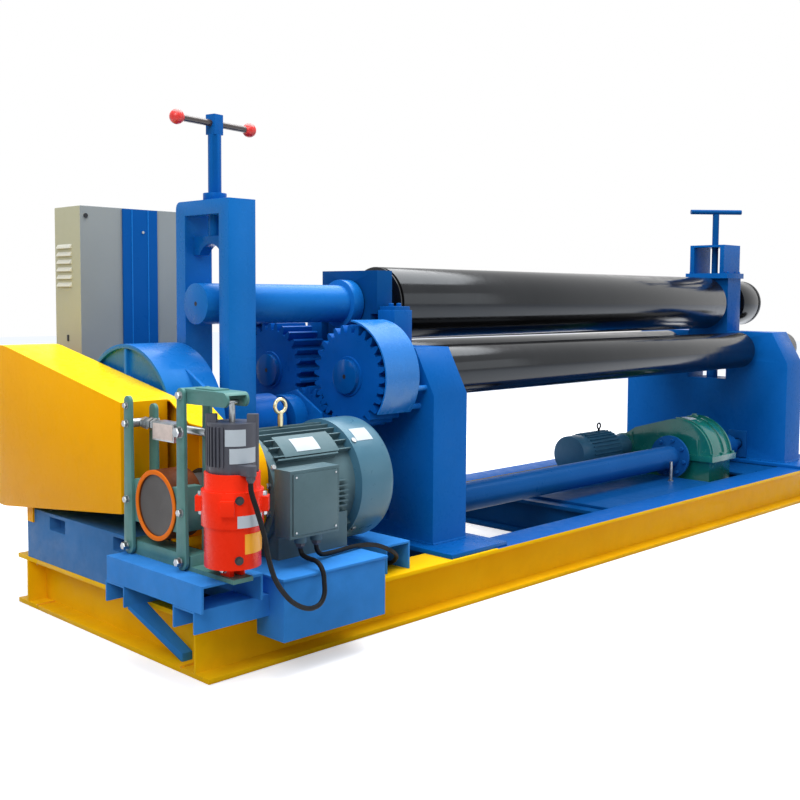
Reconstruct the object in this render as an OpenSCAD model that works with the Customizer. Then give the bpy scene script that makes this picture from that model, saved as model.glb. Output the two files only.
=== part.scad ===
// Three-roll plate rolling machine, mechanical symmetric type.
// X runs along the rolls towards the tip end, Y towards the rear, Z up.
// The origin is on the floor, under the upper roll, halfway along the base.

/* [Base frame] */
// How far the base reaches past the drive stand
drive_over = 1055; // [1055:5:1300]
// How far the base reaches past the tip stand
tip_over = 295; // [200:5:400]
// Distance from the roll axis to the front edge of the base
base_front = 594; // [560:2:720]
// Distance from the roll axis to the rear edge of the base
base_rear = 520; // [510:2:640]
// Height of the rails
rail_h = 170; // [150:5:220]
// Width of a rail's flanges
rail_w = 136; // [110:2:160]
// Thickness of a rail's flanges
flange_t = 15; // [10:1:20]
// Thickness of a rail's web
web_t = 10; // [8:1:14]
// Thickness of the deck plate
deck_t = 12; // [8:1:16]
// Length of the deck plate, up to the tip stand
deck_len = 1630; // [1500:5:1800]

/* [Rolls] */
// Diameter of the upper roll
upper_d = 280; // [240:5:320]
// Diameter of the lower rolls
lower_d = 190; // [170:5:210]
// Distance between the axes of the lower rolls
lower_pitch = 432; // [432:6:468]
// Height of the lower roll axes
lower_z = 775; // [740:5:820]
// Height of the upper roll axis, raised for loading
upper_z = 1026; // [1010:2:1060]
// Clear distance between the stands
stand_gap = 2540; // [2200:5:3100]
// How far the roll ends reach past the tip stand
roll_tip = 300; // [240:10:340]
// How far the upper roll's end reaches past the tip stand
upper_tip = 205; // [180:5:300]
// How far the upper roll's barrel reaches over the drive stand
roll_over = 34; // [20:2:60]
// How far the upper roll can be lowered
roll_drop = 110; // [60:5:120]
// Diameter of the upper roll's tail shaft
tail_d = 136; // [120:2:140]
// Length of the tail shaft, from the drive stand outwards
tail_len = 680; // [640:5:760]
// Diameter of the lower rolls' journals
lower_journal_d = 120; // [100:2:130]
// Diameter of the upper roll's journals
upper_journal_d = 150; // [140:2:160]
// Radial clearance of a journal in its bearing
bearing_clear = 0.06; // [0.02:0.01:0.1]

/* [Stands] */
// Thickness of a stand
stand_t = 175; // [150:5:200]
// Distance from the roll axis to the drive stand's front edge
stand_front = 440; // [400:5:460]
// Distance from the roll axis to the tip stand's front edge
tip_front = 465; // [400:5:480]
// Length of the rolls' necks beside the tip stand
neck_len = 52; // [20:2:80]
// Distance from the roll axis to a stand's rear edge
stand_rear = 505; // [440:5:510]
// Height of a stand's top
stand_top = 873; // [860:1:880]
// Width of the sloped corners
stand_cut_y = 91; // [60:1:120]
// Height of the sloped corners
stand_cut_z = 163; // [100:1:200]
// Thickness of the foot plates
foot_t = 15; // [10:1:20]
// Width of the slot that the bearing blocks slide in
slot_w = 232; // [220:2:240]
// Height of the bottom of that slot
slot_bottom = 611; // [600:1:640]
// Thickness of the drive end's bearing block
block_t = 77; // [60:1:100]

/* [Gears] */
// Gear module
gear_module = 12; // [12:1:12]
// Teeth of a roll gear
gear_teeth = 28; // [28:1:28]
// Teeth of the drive pinion
pinion_teeth = 17; // [17:1:17]
// Face width of the gears
gear_w = 140; // [100:5:150]
// Gap between the gears and the stand
gear_gap = 57; // [40:1:80]
// Backlash at the pitch circle
backlash = 0.8; // [0.4:0.1:1.2]
// Radial room inside the gear guard
guard_room = 12; // [8:1:20]

/* [Tail support] */
// Distance from the drive stand to the tail portal's outer face
portal_off = 655; // [640:5:700]
// Thickness of the portal along the rolls
portal_t = 108; // [90:2:120]
// Width of the portal
portal_w = 296; // [280:2:320]
// Height of the portal's top
portal_top = 1366; // [1340:2:1400]
// Width of a portal column
column_w = 53; // [45:1:60]
// Diameter of the tail screw
tail_screw_d = 44; // [36:2:50]
// Length of the tail screw's cross handle
tail_handle_l = 336; // [280:4:400]

/* [Main drive] */
// Distance from the roll axis to the motor axis, forwards
motor_y = 376; // [365:1:400]
// Height of the motor axis
motor_z = 465; // [450:5:480]
// Diameter of the motor's barrel over its fins
motor_d = 372; // [340:2:380]
// Diameter of the motor's fan cowl
cowl_d = 392; // [360:2:396]
// Distance from the base's drive end to the motor's face
motor_in = 260; // [250:5:280]
// Length of the motor's barrel
barrel_len = 330; // [300:5:360]
// Length of the motor's fan cowl
cowl_len = 153; // [140:1:216]
// Diameter of the brake drum
drum_d = 200; // [180:5:210]
// Width of the brake drum
drum_w = 96; // [80:2:100]

/* [Lift drive] */
// Distance from the roll axis to the cross shaft, forwards
shaft_y = 200; // [180:5:220]
// Height of the cross shaft
shaft_z = 263; // [255:1:280]
// Diameter of the cross shaft's tube
tube_d = 112; // [90:2:120]
// Diameter of the cross shaft's flange
disc_d = 212; // [180:2:220]

/* [Cabinet] */
// Width of the control cabinet
cabinet_w = 480; // [400:5:600]
// Depth of the control cabinet
cabinet_d = 183; // [150:1:250]
// Height of the control cabinet
cabinet_h = 1150; // [900:10:1300]
// Distance from the base's drive end to the control cabinet
cabinet_in = 260; // [220:5:320]

/* [Hidden] */
$fn = 96;

base_len = drive_over + 2 * stand_t + stand_gap + tip_over;
base_x = base_len / 2;
// The drive's pieces are placed from this end of the base
drive_end = -base_x;
drive_stand_x = drive_end + drive_over;
portal_x = drive_stand_x - portal_off;
motor_x = drive_end + motor_in;
cabinet_x = drive_end + cabinet_in;
lower_y = lower_pitch / 2;
// Inner and outer faces of the two stands
drive_in = drive_stand_x + stand_t;
tip_in = drive_in + stand_gap;
tip_out = tip_in + stand_t;
roll_end = tip_out + roll_tip;
seat_z = rail_h - flange_t;
deck_top = seat_z + deck_t;
front_web_y = -base_front + rail_w / 2;
rear_web_y = base_rear - rail_w / 2;

// Gear train
gear_r = gear_module * gear_teeth / 2;
pinion_r = gear_module * pinion_teeth / 2;
mesh_dist = gear_r + pinion_r;
pinion_drop = sqrt(mesh_dist * mesh_dist - lower_y * lower_y);
pinion_z = lower_z - pinion_drop;
mesh_angle = atan2(pinion_drop, lower_y);
gear_x1 = drive_stand_x - gear_gap;
gear_x0 = gear_x1 - gear_w;
guard_r = gear_r + gear_module + guard_room;
pinion_phase = 180 - mesh_angle + 180 / pinion_teeth;
pinion_step = 360 / pinion_teeth;
gap_index = round((mesh_angle - pinion_phase - pinion_step / 2) / pinion_step);
gap_offset = pinion_phase + pinion_step * (gap_index + 0.5) - mesh_angle;

// ---------------------------------------------------------------- helpers

// A box between two corners
module block(lo, hi) {
  translate(lo) cube(hi - lo);
}

// Takes a flat outline drawn as (Y, Z) and extrudes it towards +X
module along_x(x, len, y = 0, z = 0) {
  translate([x, y, z]) rotate([90, 0, 90]) linear_extrude(len) children();
}

// Takes a flat outline drawn as (X, Z) and extrudes it towards +Y
module along_y(y, len, x = 0, z = 0) {
  translate([x, y + len, z]) rotate([90, 0, 0]) linear_extrude(len) children();
}

// A round bar along X
module bar_x(x, y, z, d, len) {
  translate([x, y, z]) rotate([0, 90, 0]) cylinder(d = d, h = len);
}

// A round bar along Y
module bar_y(x, y, z, d, len) {
  translate([x, y, z]) rotate([-90, 0, 0]) cylinder(d = d, h = len);
}

// Points of an arc, from angle a0 to a1
function arc(cx, cy, r, a0, a1, n = 12) =
  [for (i = [0:n]) let (a = a0 + (a1 - a0) * i / n) [cx + r * cos(a), cy + r * sin(a)]];

// Cross-section of a rolled I-beam, standing on its bottom flange at the origin
module i_section(w, h) {
  translate([-w / 2, 0]) square([w, flange_t]);
  translate([-w / 2, h - flange_t]) square([w, flange_t]);
  translate([-web_t / 2, 0]) square([web_t, h]);
}

// Cross-section of a channel laid web up, legs down
module channel_down(w, h, t = 6) {
  difference() {
    translate([-w / 2, 0]) square([w, h]);
    translate([-w / 2 + t, -1]) square([w - 2 * t, h - t + 1]);
  }
}

// ---------------------------------------------------------------- base frame

beam_x = base_x - rail_w / 2;
bay_y0 = front_web_y + web_t / 2;
bay_y1 = rear_web_y - web_t / 2;
// Beams that cross the base, from the drive end to the tip end
cross_w = 90;
cross_x = [portal_x + portal_t / 2, drive_stand_x + stand_t / 2, 0, tip_in + stand_t / 2];
// Low channels that carry the lift reducer
pit_beam_h = 55;

module front_rail() {
  color([0.78, 0.56, 0.06])
    along_x(-base_x, base_len, front_web_y, 0) i_section(rail_w, rail_h);
}

module rear_rail() {
  color([0.78, 0.56, 0.06])
    along_x(-base_x, base_len, rear_web_y, 0) i_section(rail_w, rail_h);
}

// Cross members run between the rails' flanges, and their webs reach the rails' webs
module cross_member(x, w, h) {
  flange_y0 = front_web_y + rail_w / 2;
  flange_y1 = rear_web_y - rail_w / 2;
  along_y(flange_y0, flange_y1 - flange_y0, x, 0) i_section(w, h);
  block([x - web_t / 2, bay_y0, flange_t], [x + web_t / 2, bay_y1, seat_z - flange_t]);
}

module end_beams() {
  color([0.78, 0.56, 0.06])
    for (side = [-1, 1])
      cross_member(side * beam_x, rail_w, rail_h);
}

module cross_beams() {
  color([0.06, 0.3, 0.62]) {
    for (x = cross_x)
      cross_member(x, cross_w, seat_z);
    for (x = [reducer2_x0 + 55, reducer2_x1 - 55])
      along_y(bay_y0, bay_y1 - bay_y0, x, flange_t) channel_down(cross_w, pit_beam_h, 8);
  }
}

// The deck is open around the lift reducer
module deck_plate() {
  color([0.06, 0.3, 0.62])
    difference() {
      block([tip_in - deck_len, front_web_y + rail_w / 2, seat_z],
            [beam_x - rail_w / 2, rear_web_y - rail_w / 2, deck_top]);
      block([reducer2_x0 - 70, -shaft_y - 230, 0], [reducer2_x1 + 45, 240, rail_h]);
    }
}

// ---------------------------------------------------------------- stands

foot_over = 60;

// Bearing bores, slide slot and screw bore of a stand
jack_d = 60;
jack_bore_bottom = 370;
// Core of the cross shaft, and how deep its ends sit in the stands
shaft_core_d = 50;
shaft_seat = 22;

module stand_cuts(x, jack_x) {
  for (y = [-lower_y, lower_y])
    bar_x(x - 1, y, lower_z, lower_journal_d + 2 * bearing_clear, stand_t + 2);
  block([x - 1, -slot_w / 2, slot_bottom], [x + stand_t + 1, slot_w / 2, stand_top + 1]);
  translate([jack_x, 0, jack_bore_bottom])
    cylinder(d = jack_d + 2 * bearing_clear, h = slot_bottom - jack_bore_bottom + 1);
  for (face = [x, x + stand_t])
    bar_x(face - shaft_seat, -shaft_y, shaft_z, shaft_core_d + 2 * bearing_clear, 2 * shaft_seat);
}

module stand(x, jack_x, front) {
  foot_z = rail_h + foot_t;
  difference() {
    union() {
      along_x(x, stand_t)
        polygon([[-front, foot_z], [stand_rear, foot_z],
                 [stand_rear, stand_top - stand_cut_z], [stand_rear - stand_cut_y, stand_top],
                 [-front + stand_cut_y, stand_top], [-front, stand_top - stand_cut_z]]);
      block([x - foot_over, -base_front + 10, rail_h],
            [x + stand_t + foot_over, base_rear - 10, foot_z]);
    }
    stand_cuts(x, jack_x);
  }
}

// The drive stand has a rebate in its inner face, so the barrel clears it when lowered
relief_z = upper_z - roll_drop - sqrt(pow(upper_d + 16, 2) - slot_w * slot_w) / 2;
relief_w = upper_d + 20;

module drive_stand() {
  color([0.06, 0.35, 0.7])
    difference() {
      stand(drive_stand_x, block_mid, stand_front);
      block([drive_in - roll_over - 8, -relief_w / 2, relief_z],
            [drive_in + 1, relief_w / 2, stand_top + 1]);
    }
}

module tip_stand() {
  color([0.06, 0.35, 0.7]) stand(tip_in, tip_mid, tip_front);
}

// Bearing block of the drive end, with wings above the stand
wing_w = 300;
wing_z0 = 990;
block_top = 1148;
block_bottom = 904;
block_w = slot_w - 2;
block_x0 = drive_stand_x + 5;
block_x1 = block_x0 + block_t;
block_mid = block_x0 + block_t / 2;
jack_len = 405;
slide_clear = 5;
post_w = 84;
post_top = 1004;
post_x0 = drive_stand_x + 5;
post_t = block_t + 15;

module guide_posts() {
  color([0.06, 0.35, 0.7])
    for (side = [-1, 1])
      union() {
        y_in = side * (wing_w / 2 + slide_clear);
        y_out = y_in + side * post_w;
        block([post_x0, min(y_in, y_out), stand_top], [post_x0 + post_t, max(y_in, y_out), post_top]);
        block([post_x0 + 6, min(y_in, y_out) + 4, post_top],
              [post_x0 + post_t - 6, max(y_in, y_out) - 4, post_top + 14]);
      }
}

module drive_block() {
  color([0.06, 0.35, 0.7])
    difference() {
      union() {
        block([block_x0, -wing_w / 2, wing_z0], [block_x1, wing_w / 2, block_top]);
        block([block_x0, -block_w / 2, block_bottom], [block_x1, block_w / 2, wing_z0]);
        translate([block_mid, 0, block_bottom - jack_len + 1])
          cylinder(d = jack_d, h = jack_len);
      }
      bar_x(block_x0 - 1, 0, upper_z, upper_journal_d + 2 * bearing_clear, block_t + 2);
    }
}

// Bearing yoke of the tip end
yoke_x0 = tip_in + 3;
yoke_x1 = tip_out - 28;
tip_mid = (yoke_x0 + yoke_x1) / 2 - 10;
yoke_bottom = 790;
yoke_top = 1162;

module tip_yoke() {
  color([0.06, 0.35, 0.7])
    difference() {
      union() {
        block([yoke_x0, -block_w / 2, yoke_bottom], [yoke_x1, block_w / 2, yoke_top]);
        block([tip_mid - box_l / 2 - 4, -cap_w / 2, yoke_top], [tip_mid + box_l / 2 + 4, cap_w / 2, yoke_top + cap_t]);
        translate([tip_mid, 0, block_bottom - jack_len + 1])
          cylinder(d = jack_d, h = jack_len - (block_bottom - yoke_bottom));
      }
      bar_x(yoke_x0 - 20, 0, upper_z, upper_journal_d + 2 * bearing_clear, stand_t + 40);
    }
}

cap_t = 28;
cap_w = 250;
box_w = 204;
box_l = 184;
box_top = 1345;
box_side = 25;
stem_d = 35;
stem_clear = 0.5;

module tip_box() {
  x0 = tip_mid - box_l / 2;
  x1 = tip_mid + box_l / 2;
  z0 = yoke_top + cap_t;
  color([0.06, 0.35, 0.7])
    difference() {
      block([x0, -box_w / 2, z0], [x1, box_w / 2, box_top]);
      block([x0 - 1, -box_w / 2 + box_side, z0 - 1], [x1 + 1, box_w / 2 - box_side, box_top - 12]);
      translate([tip_mid, 0, box_top - 20]) cylinder(d = stem_d + 2 * stem_clear, h = 30);
    }
}

module tip_handle() {
  z0 = yoke_top + cap_t + 0.3;
  bar_z = 1530;
  color([0.06, 0.35, 0.7]) {
    translate([tip_mid, 0, z0]) cylinder(d = stem_d, h = bar_z - 12 - z0);
    translate([tip_mid, 0, bar_z]) rotate([0, 0, -42]) bar_x(-142, 0, 0, 26, 284);
  }
}

// ---------------------------------------------------------------- rolls

module upper_roll() {
  x0 = drive_in - roll_over;
  color([0.06, 0.06, 0.07]) {
    bar_x(x0, 0, upper_z, upper_d, 6);
    bar_x(x0 + 5, 0, upper_z, upper_d - 24, 14);
    bar_x(x0 + 18, 0, upper_z, upper_d, tip_in - x0 - 23 - neck_len);
    bar_x(tip_in - 6 - neck_len, 0, upper_z, upper_journal_d, stand_t + 12 + neck_len);
    bar_x(tip_out + 5, 0, upper_z, upper_d - 30, upper_tip - 35);
    bar_x(tip_out + upper_tip - 31, 0, upper_z, upper_d - 50, 13);
    bar_x(tip_out + upper_tip - 19, 0, upper_z, upper_d - 30, 19);
  }
}

module roll_tail() {
  x0 = drive_stand_x - tail_len;
  color([0.1, 0.4, 0.75]) {
    bar_x(x0, 0, upper_z, tail_d, tail_len - 20);
    bar_x(drive_stand_x - 49, 0, upper_z, upper_journal_d + 26, 48);
    bar_x(drive_stand_x - 2, 0, upper_z, upper_journal_d, drive_in - roll_over - drive_stand_x + 2);
  }
}

module lower_roll(y) {
  x0 = gear_x0 - 20;
  bar_x(x0, y, lower_z, lower_journal_d, drive_in - x0 + 6);
  bar_x(drive_in + 5, y, lower_z, lower_d, stand_gap - 10 - neck_len);
  bar_x(tip_in - 6 - neck_len, y, lower_z, lower_journal_d, stand_t + 12 + neck_len);
  bar_x(tip_out + 5, y, lower_z, lower_d - 20, roll_tip - 5);
}

module front_roll() {
  color([0.06, 0.06, 0.07]) lower_roll(-lower_y);
}

module rear_roll() {
  color([0.06, 0.06, 0.07]) lower_roll(lower_y);
}

// ---------------------------------------------------------------- gears

pressure = 20;

// Involute function, in degrees
function inv(a) = (tan(a) - a * PI / 180) * 180 / PI;

// Half of a tooth's angle at radius rho
function half_tooth(z, rho) =
  let (r = gear_module * z / 2, rb = r * cos(pressure))
  90 / z - backlash / 4 / r * 180 / PI + inv(pressure) - inv(acos(min(1, rb / rho)));

// Outline of one tooth, centred on angle a
function tooth(z, a) =
  let (r = gear_module * z / 2,
       rb = r * cos(pressure),
       rf = r - 1.25 * gear_module,
       ra = r + gear_module,
       r0 = max(rb, rf) + 0.01,
       flank = [for (i = [0:4]) let (rho = r0 + (ra - r0) * i / 4) [rho, half_tooth(z, rho)]])
  concat([[rf * cos(a - half_tooth(z, r0)), rf * sin(a - half_tooth(z, r0))]],
         [for (p = flank) [p[0] * cos(a - p[1]), p[0] * sin(a - p[1])]],
         [for (i = [4:-1:0]) [flank[i][0] * cos(a + flank[i][1]), flank[i][0] * sin(a + flank[i][1])]],
         [[rf * cos(a + half_tooth(z, r0)), rf * sin(a + half_tooth(z, r0))]]);

module gear_outline(z, phase) {
  polygon([for (i = [0:z - 1]) each tooth(z, phase + i * 360 / z)]);
}

module roll_gear(y, phase) {
  difference() {
    along_x(gear_x0, gear_w, y, lower_z) gear_outline(gear_teeth, phase);
    bar_x(gear_x0 - 1, y, lower_z, lower_journal_d, gear_w + 2);
  }
}

module front_gear() {
  color([0.05, 0.28, 0.6]) roll_gear(-lower_y, -mesh_angle);
}

module rear_gear() {
  color([0.05, 0.28, 0.6])
    roll_gear(lower_y, 180 + mesh_angle - gap_offset * pinion_teeth / gear_teeth);
}

reducer_x0 = drive_end + 170;
reducer_x1 = reducer_x0 + 215;
pinion_shaft_d = 90;
pinion_seat = 30;

module drive_pinion() {
  color([0.45, 0.47, 0.5]) {
    along_x(gear_x0, gear_w, 0, pinion_z) gear_outline(pinion_teeth, pinion_phase);
    bar_x(reducer_x1 - pinion_seat, 0, pinion_z, pinion_shaft_d, drive_stand_x - reducer_x1 + pinion_seat - 5);
    bar_x(portal_x + portal_t + 40, 0, pinion_z, 200, 130);
  }
}

guard_flange = 6;
guard_back = gear_x1 + 12;

// One hood: a rolled band, the flange behind it and the feet that hold it to the stand
module hood(side) {
  y = side * lower_y;
  r_foot = guard_r - 5;
  along_x(gear_x0 - 8, guard_back - gear_x0 + 8, y, lower_z)
    polygon(concat(arc(0, 0, guard_r + guard_flange, 90 - side * 6, 90 - side * 128, 28),
                   arc(0, 0, guard_r, 90 - side * 128, 90 - side * 6, 28)));
  along_x(guard_back - guard_flange, guard_flange, y, lower_z)
    polygon(concat(arc(0, 0, guard_r + 1, 90 - side * 6, 90 - side * 128, 28),
                   arc(0, 0, guard_r - 18, 90 - side * 128, 90 - side * 6, 28)));
  block([guard_back - guard_flange, y + side * 32 - 13, stand_top - 31],
        [guard_back, y + side * 32 + 13, lower_z + guard_r - 6]);
  bar_x(guard_back - 1, y + side * 32, stand_top - 18, 22, drive_stand_x - guard_back + 1);
  for (a = [102, 124])
    bar_x(guard_back - 1, y + side * r_foot * sin(a), lower_z + r_foot * cos(a), 20, drive_stand_x - guard_back + 1);
}

module gear_guard() {
  color([0.2, 0.5, 0.85])
    for (side = [-1, 1])
      hood(side);
}

pedestal_x1 = gear_x0 - 71;
pedestal_x0 = pedestal_x1 - 60;
bearer_top = rail_h + 92;

module pinion_pedestal() {
  color([0.06, 0.35, 0.7])
    difference() {
      along_x(pedestal_x0, pedestal_x1 - pedestal_x0)
        polygon(concat([[-150, bearer_top], [150, bearer_top]], arc(0, pinion_z, 90, 0, 180, 20)));
      bar_x(pedestal_x0 - 1, 0, pinion_z, pinion_shaft_d + 2 * bearing_clear, 62);
    }
}

cover_t = 10;

// Plate over the pinion's bearing, bolted to the pedestal
module pinion_cover() {
  color([0.1, 0.42, 0.8])
    difference() {
      along_x(pedestal_x1, cover_t)
        polygon([[-152, bearer_top], [305, bearer_top], [305, 656], [27, 706], [-17, 720], [-152, 647]]);
      bar_x(pedestal_x1 - 1, 0, pinion_z, pinion_shaft_d + 10, cover_t + 2);
    }
}

// ---------------------------------------------------------------- tail support

window_top = 1318;
window_bottom = 480;
portal_mid = portal_x + portal_t / 2;
saddle_z0 = 1188;
saddle_z1 = 1250;
saddle_t = 40;
tail_screw_clear = 0.5;

module tail_portal() {
  half = portal_w / 2;
  color([0.1, 0.42, 0.8])
    difference() {
      along_x(portal_x, portal_t)
        polygon(concat([[-half, seat_z], [half, seat_z]], arc(half - 22, portal_top - 22, 22, 0, 90, 6),
                       [[-half, portal_top]]));
      block([portal_x - 1, -half + column_w, window_bottom],
            [portal_x + portal_t + 1, half - column_w, window_top]);
      translate([portal_mid, 0, window_top - 1])
        cylinder(d = tail_screw_d + 2 * tail_screw_clear, h = portal_top - window_top + 2);
    }
}

module screw_collar() {
  color([0.1, 0.42, 0.8])
    translate([portal_mid, 0, portal_top])
      difference() {
        cylinder(d = 78, h = 25);
        translate([0, 0, -1]) cylinder(d = tail_screw_d + 2 * tail_screw_clear, h = 30);
      }
}

module tail_saddle() {
  half = portal_w / 2 - column_w - 1;
  color([0.1, 0.42, 0.8])
    difference() {
      block([portal_mid - saddle_t / 2, -half, saddle_z0], [portal_mid + saddle_t / 2, half, saddle_z1]);
      bar_x(portal_mid - saddle_t, 0, saddle_z0 - 34, tail_d + 4, 2 * saddle_t);
    }
}

screw_head_z0 = 1582;
screw_head_z1 = 1648;
head_w = 40;

module tail_screw() {
  color([0.1, 0.3, 0.55]) {
    translate([portal_mid, 0, saddle_z1 + 0.3]) cylinder(d = tail_screw_d, h = screw_head_z0 - saddle_z1 + 1);
    translate([portal_mid, 0, (screw_head_z0 + screw_head_z1) / 2]) rotate([0, 0, 10])
      cube([head_w, head_w, screw_head_z1 - screw_head_z0], center = true);
  }
}

// Each half of the handle is turned in one piece: a bar with a ball on its end
module tail_handle() {
  z = (screw_head_z0 + screw_head_z1) / 2 + 4;
  bar_d = 22;
  ball_d = 48;
  arm = (tail_handle_l - head_w) / 2;
  neck_a = asin(sqrt(1 - pow(bar_d / ball_d, 2)));
  end_a = 76;
  color([0.15, 0.1, 0.08])
    translate([portal_mid, 0, z]) rotate([0, 0, 10])
      for (side = [-1, 1])
        rotate([0, side * 90, 0]) translate([0, 0, head_w / 2]) rotate_extrude()
          polygon(concat([[0, 0], [bar_d / 2, 0]], arc(0, arm, ball_d / 2, -neck_a, end_a, 14),
                         [[0, arm + ball_d / 2 * sin(end_a)]]));
}

// ---------------------------------------------------------------- main reducer

reducer_z0 = 340;
split_z = pinion_z;
plinth_y0 = -200;
plinth_y1 = base_rear - 72;
arch_y = 103;
arch_z = 610;
arch_r = 272;
// The cover's crown ends where the lowered tail shaft begins
crown_x1 = min(reducer_x1 - 2, drive_stand_x - tail_len - 7);

module reducer_plinth() {
  x0 = drive_end;
  x1 = reducer_x1 + 10;
  color([0.06, 0.3, 0.62])
    difference() {
      block([x0, plinth_y0, rail_h], [x1, plinth_y1, reducer_z0]);
      for (y = [-155, 241])
        block([x0 - 1, y - 50, 286], [x0 + 40, y + 50, 328]);
    }
}

module shaft_bore() {
  bar_x(reducer_x1 - pinion_seat - 2, 0, pinion_z, pinion_shaft_d + 2 * bearing_clear, pinion_seat + 3);
}

module reducer_base() {
  y0 = arch_y - arch_r;
  y1 = arch_y + arch_r;
  color([0.06, 0.35, 0.7])
    difference() {
      union() {
        block([reducer_x0 + 15, y0 + 2, reducer_z0 + 25], [reducer_x1 - 15, y1 - 2, split_z - 20]);
        block([reducer_x0, y0 - 18, split_z - 20], [reducer_x1, y1 + 18, split_z]);
        block([reducer_x0, y0 - 18, reducer_z0], [reducer_x1, y1 + 18, reducer_z0 + 25]);
        for (y = [y0 + 60, arch_y + 120, y1 - 30])
          block([reducer_x0 + 2, y - 6, reducer_z0 + 24], [reducer_x1 - 2, y + 6, split_z - 19]);
      }
      shaft_bore();
    }
}

module reducer_cover() {
  y0 = arch_y - arch_r;
  y1 = arch_y + arch_r;
  color([0.06, 0.35, 0.7])
    difference() {
      union() {
        along_x(reducer_x0 + 15, crown_x1 - reducer_x0 - 28)
          polygon(concat(arc(arch_y, arch_z + 8, arch_r, 0, 180, 36), [[y0, split_z + 19], [y1, split_z + 19]]));
        along_x(reducer_x0 + 2, crown_x1 - reducer_x0 - 2)
          polygon(concat(arc(arch_y, arch_z + 8, arch_r + 6, 4, 176, 36), arc(arch_y, arch_z + 8, arch_r - 8, 176, 4, 36)));
        block([reducer_x0, y0 - 18, split_z], [reducer_x1, y1 + 18, split_z + 20]);
        block([reducer_x0 + 3, arch_y - 7, split_z + 19], [reducer_x0 + 16, arch_y + 7, arch_z + arch_r - 2]);
        block([crown_x1 - 14, arch_y - 7, split_z + 60], [crown_x1 - 1, arch_y + 7, arch_z + arch_r - 2]);
        along_x((reducer_x0 + reducer_x1) / 2 - 6, 12)
          polygon([[y0 - 16, split_z + 19], [y0 - 16, split_z + 158], [y0 + 108, split_z + 222],
                   [y0 + 150, split_z + 180], [y0 + 150, split_z + 19]]);
      }
      shaft_bore();
    }
}

// ---------------------------------------------------------------- belt guard

guard_x0 = drive_end - 30;
guard_x1 = reducer_x0;
nose_x0 = drive_end + 130;
nose_x1 = nose_x0 + 124;
step_y = -205;
// Large end of the guard, around the reducer's input shaft
hub_y = 560;
hub_z = 607;
hub_r = 274;
sheet = 5;

nose_r = 156;
nose_top_z = 520;
nose_end_y = step_y + 15;

// Side view of the guard's large end, back to the step beside the brake
module guard_side(inset) {
  polygon(concat(
    arc(hub_y, hub_z, hub_r - inset, -95, 100, 30),
    [[step_y + inset, 742 - inset], [step_y + inset, 415 + inset]]));
}

// Side view of the guard's nose, around the motor's pulley
module nose_side(inset) {
  polygon(concat(
    [[nose_end_y - inset, 744 - inset], [-217, 740 - inset], [58 - motor_y, 680 - inset]],
    arc(-motor_y, nose_top_z, nose_r - inset, 95, 180, 12),
    arc(-motor_y, motor_z, nose_r - inset, 180, 270, 12),
    [[plinth_y0 - 16 - inset, motor_z - nose_r + inset], [plinth_y0 - 16 - inset, reducer_z0 + 12 + inset],
     [nose_end_y - inset, reducer_z0 + 12 + inset]]));
}

module belt_guard() {
  color([0.95, 0.66, 0.02]) {
    difference() {
      union() {
        along_x(guard_x0, guard_x1 - guard_x0) guard_side(0);
        along_x(nose_x0, nose_x1 - nose_x0) nose_side(0);
      }
      along_x(guard_x0 + sheet, guard_x1 - guard_x0 - 2 * sheet) guard_side(sheet);
      along_x(nose_x0 - 1, nose_x1 - nose_x0 - sheet + 1) nose_side(sheet);
      bar_x(nose_x1 - sheet - 1, -motor_y, motor_z, 90, sheet + 2);
    }
    block([drive_end - 6, 395, reducer_z0 - 45], [drive_end, 435, reducer_z0 + 14]);
  }
}

// ---------------------------------------------------------------- brake

bracket_x0 = drive_end - 85;
beam_x1 = bracket_x0 + 200;
beam_top = 305;
arm_top = 231;
rear_arm_y = -motor_y + 120;
front_arm_y = -motor_y - 224;
arm_w = 100;

// Two channels reach out to the brake, and a strut props the rear one
module brake_bracket() {
  web_x = -beam_x - web_t / 2;
  color([0.1, 0.4, 0.75]) {
    for (y = [rear_arm_y, front_arm_y])
      along_x(bracket_x0, (y == front_arm_y ? plinth_box_x : beam_x1) - bracket_x0, y, rail_h)
        channel_down(arm_w, arm_top - rail_h);
    hull() {
      block([bracket_x0 + 16, rear_arm_y - 50, rail_h - 8], [bracket_x0 + 72, rear_arm_y - 42, rail_h + 2]);
      block([web_x - 34, rear_arm_y - 168, flange_t], [web_x, rear_arm_y - 160, flange_t + 24]);
    }
  }
}

module brake_beam() {
  color([0.1, 0.4, 0.75])
    along_y(thruster_y - 7, 470, bracket_x0 + 100, arm_top) channel_down(200, beam_top - arm_top, 8);
}

pin_z = 330;
drum_x0 = drive_end - 26;
arm_x0 = drum_x0 - 4;
arm_plate = 10;
arm_x1 = arm_x0 + 84;
brake_half = 134;
arm_w2 = 40;
pin_d = 20;
lever_pin_z = 785;

module brake_base() {
  x0 = arm_x0 + arm_plate + 5;
  x1 = arm_x1 - 5;
  color([0.3, 0.42, 0.4]) {
    block([x0, -motor_y - brake_half - 25, beam_top], [x1, -motor_y + brake_half + 17, pin_z + 16]);
    for (side = [-1, 1])
      bar_x(arm_x0 - 5, -motor_y + side * brake_half, pin_z, pin_d, arm_x1 - arm_x0 + arm_plate + 10);
    block([x0, thruster_y - 50, beam_top], [x1, -motor_y - brake_half - 25, beam_top + 12]);
  }
}

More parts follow.
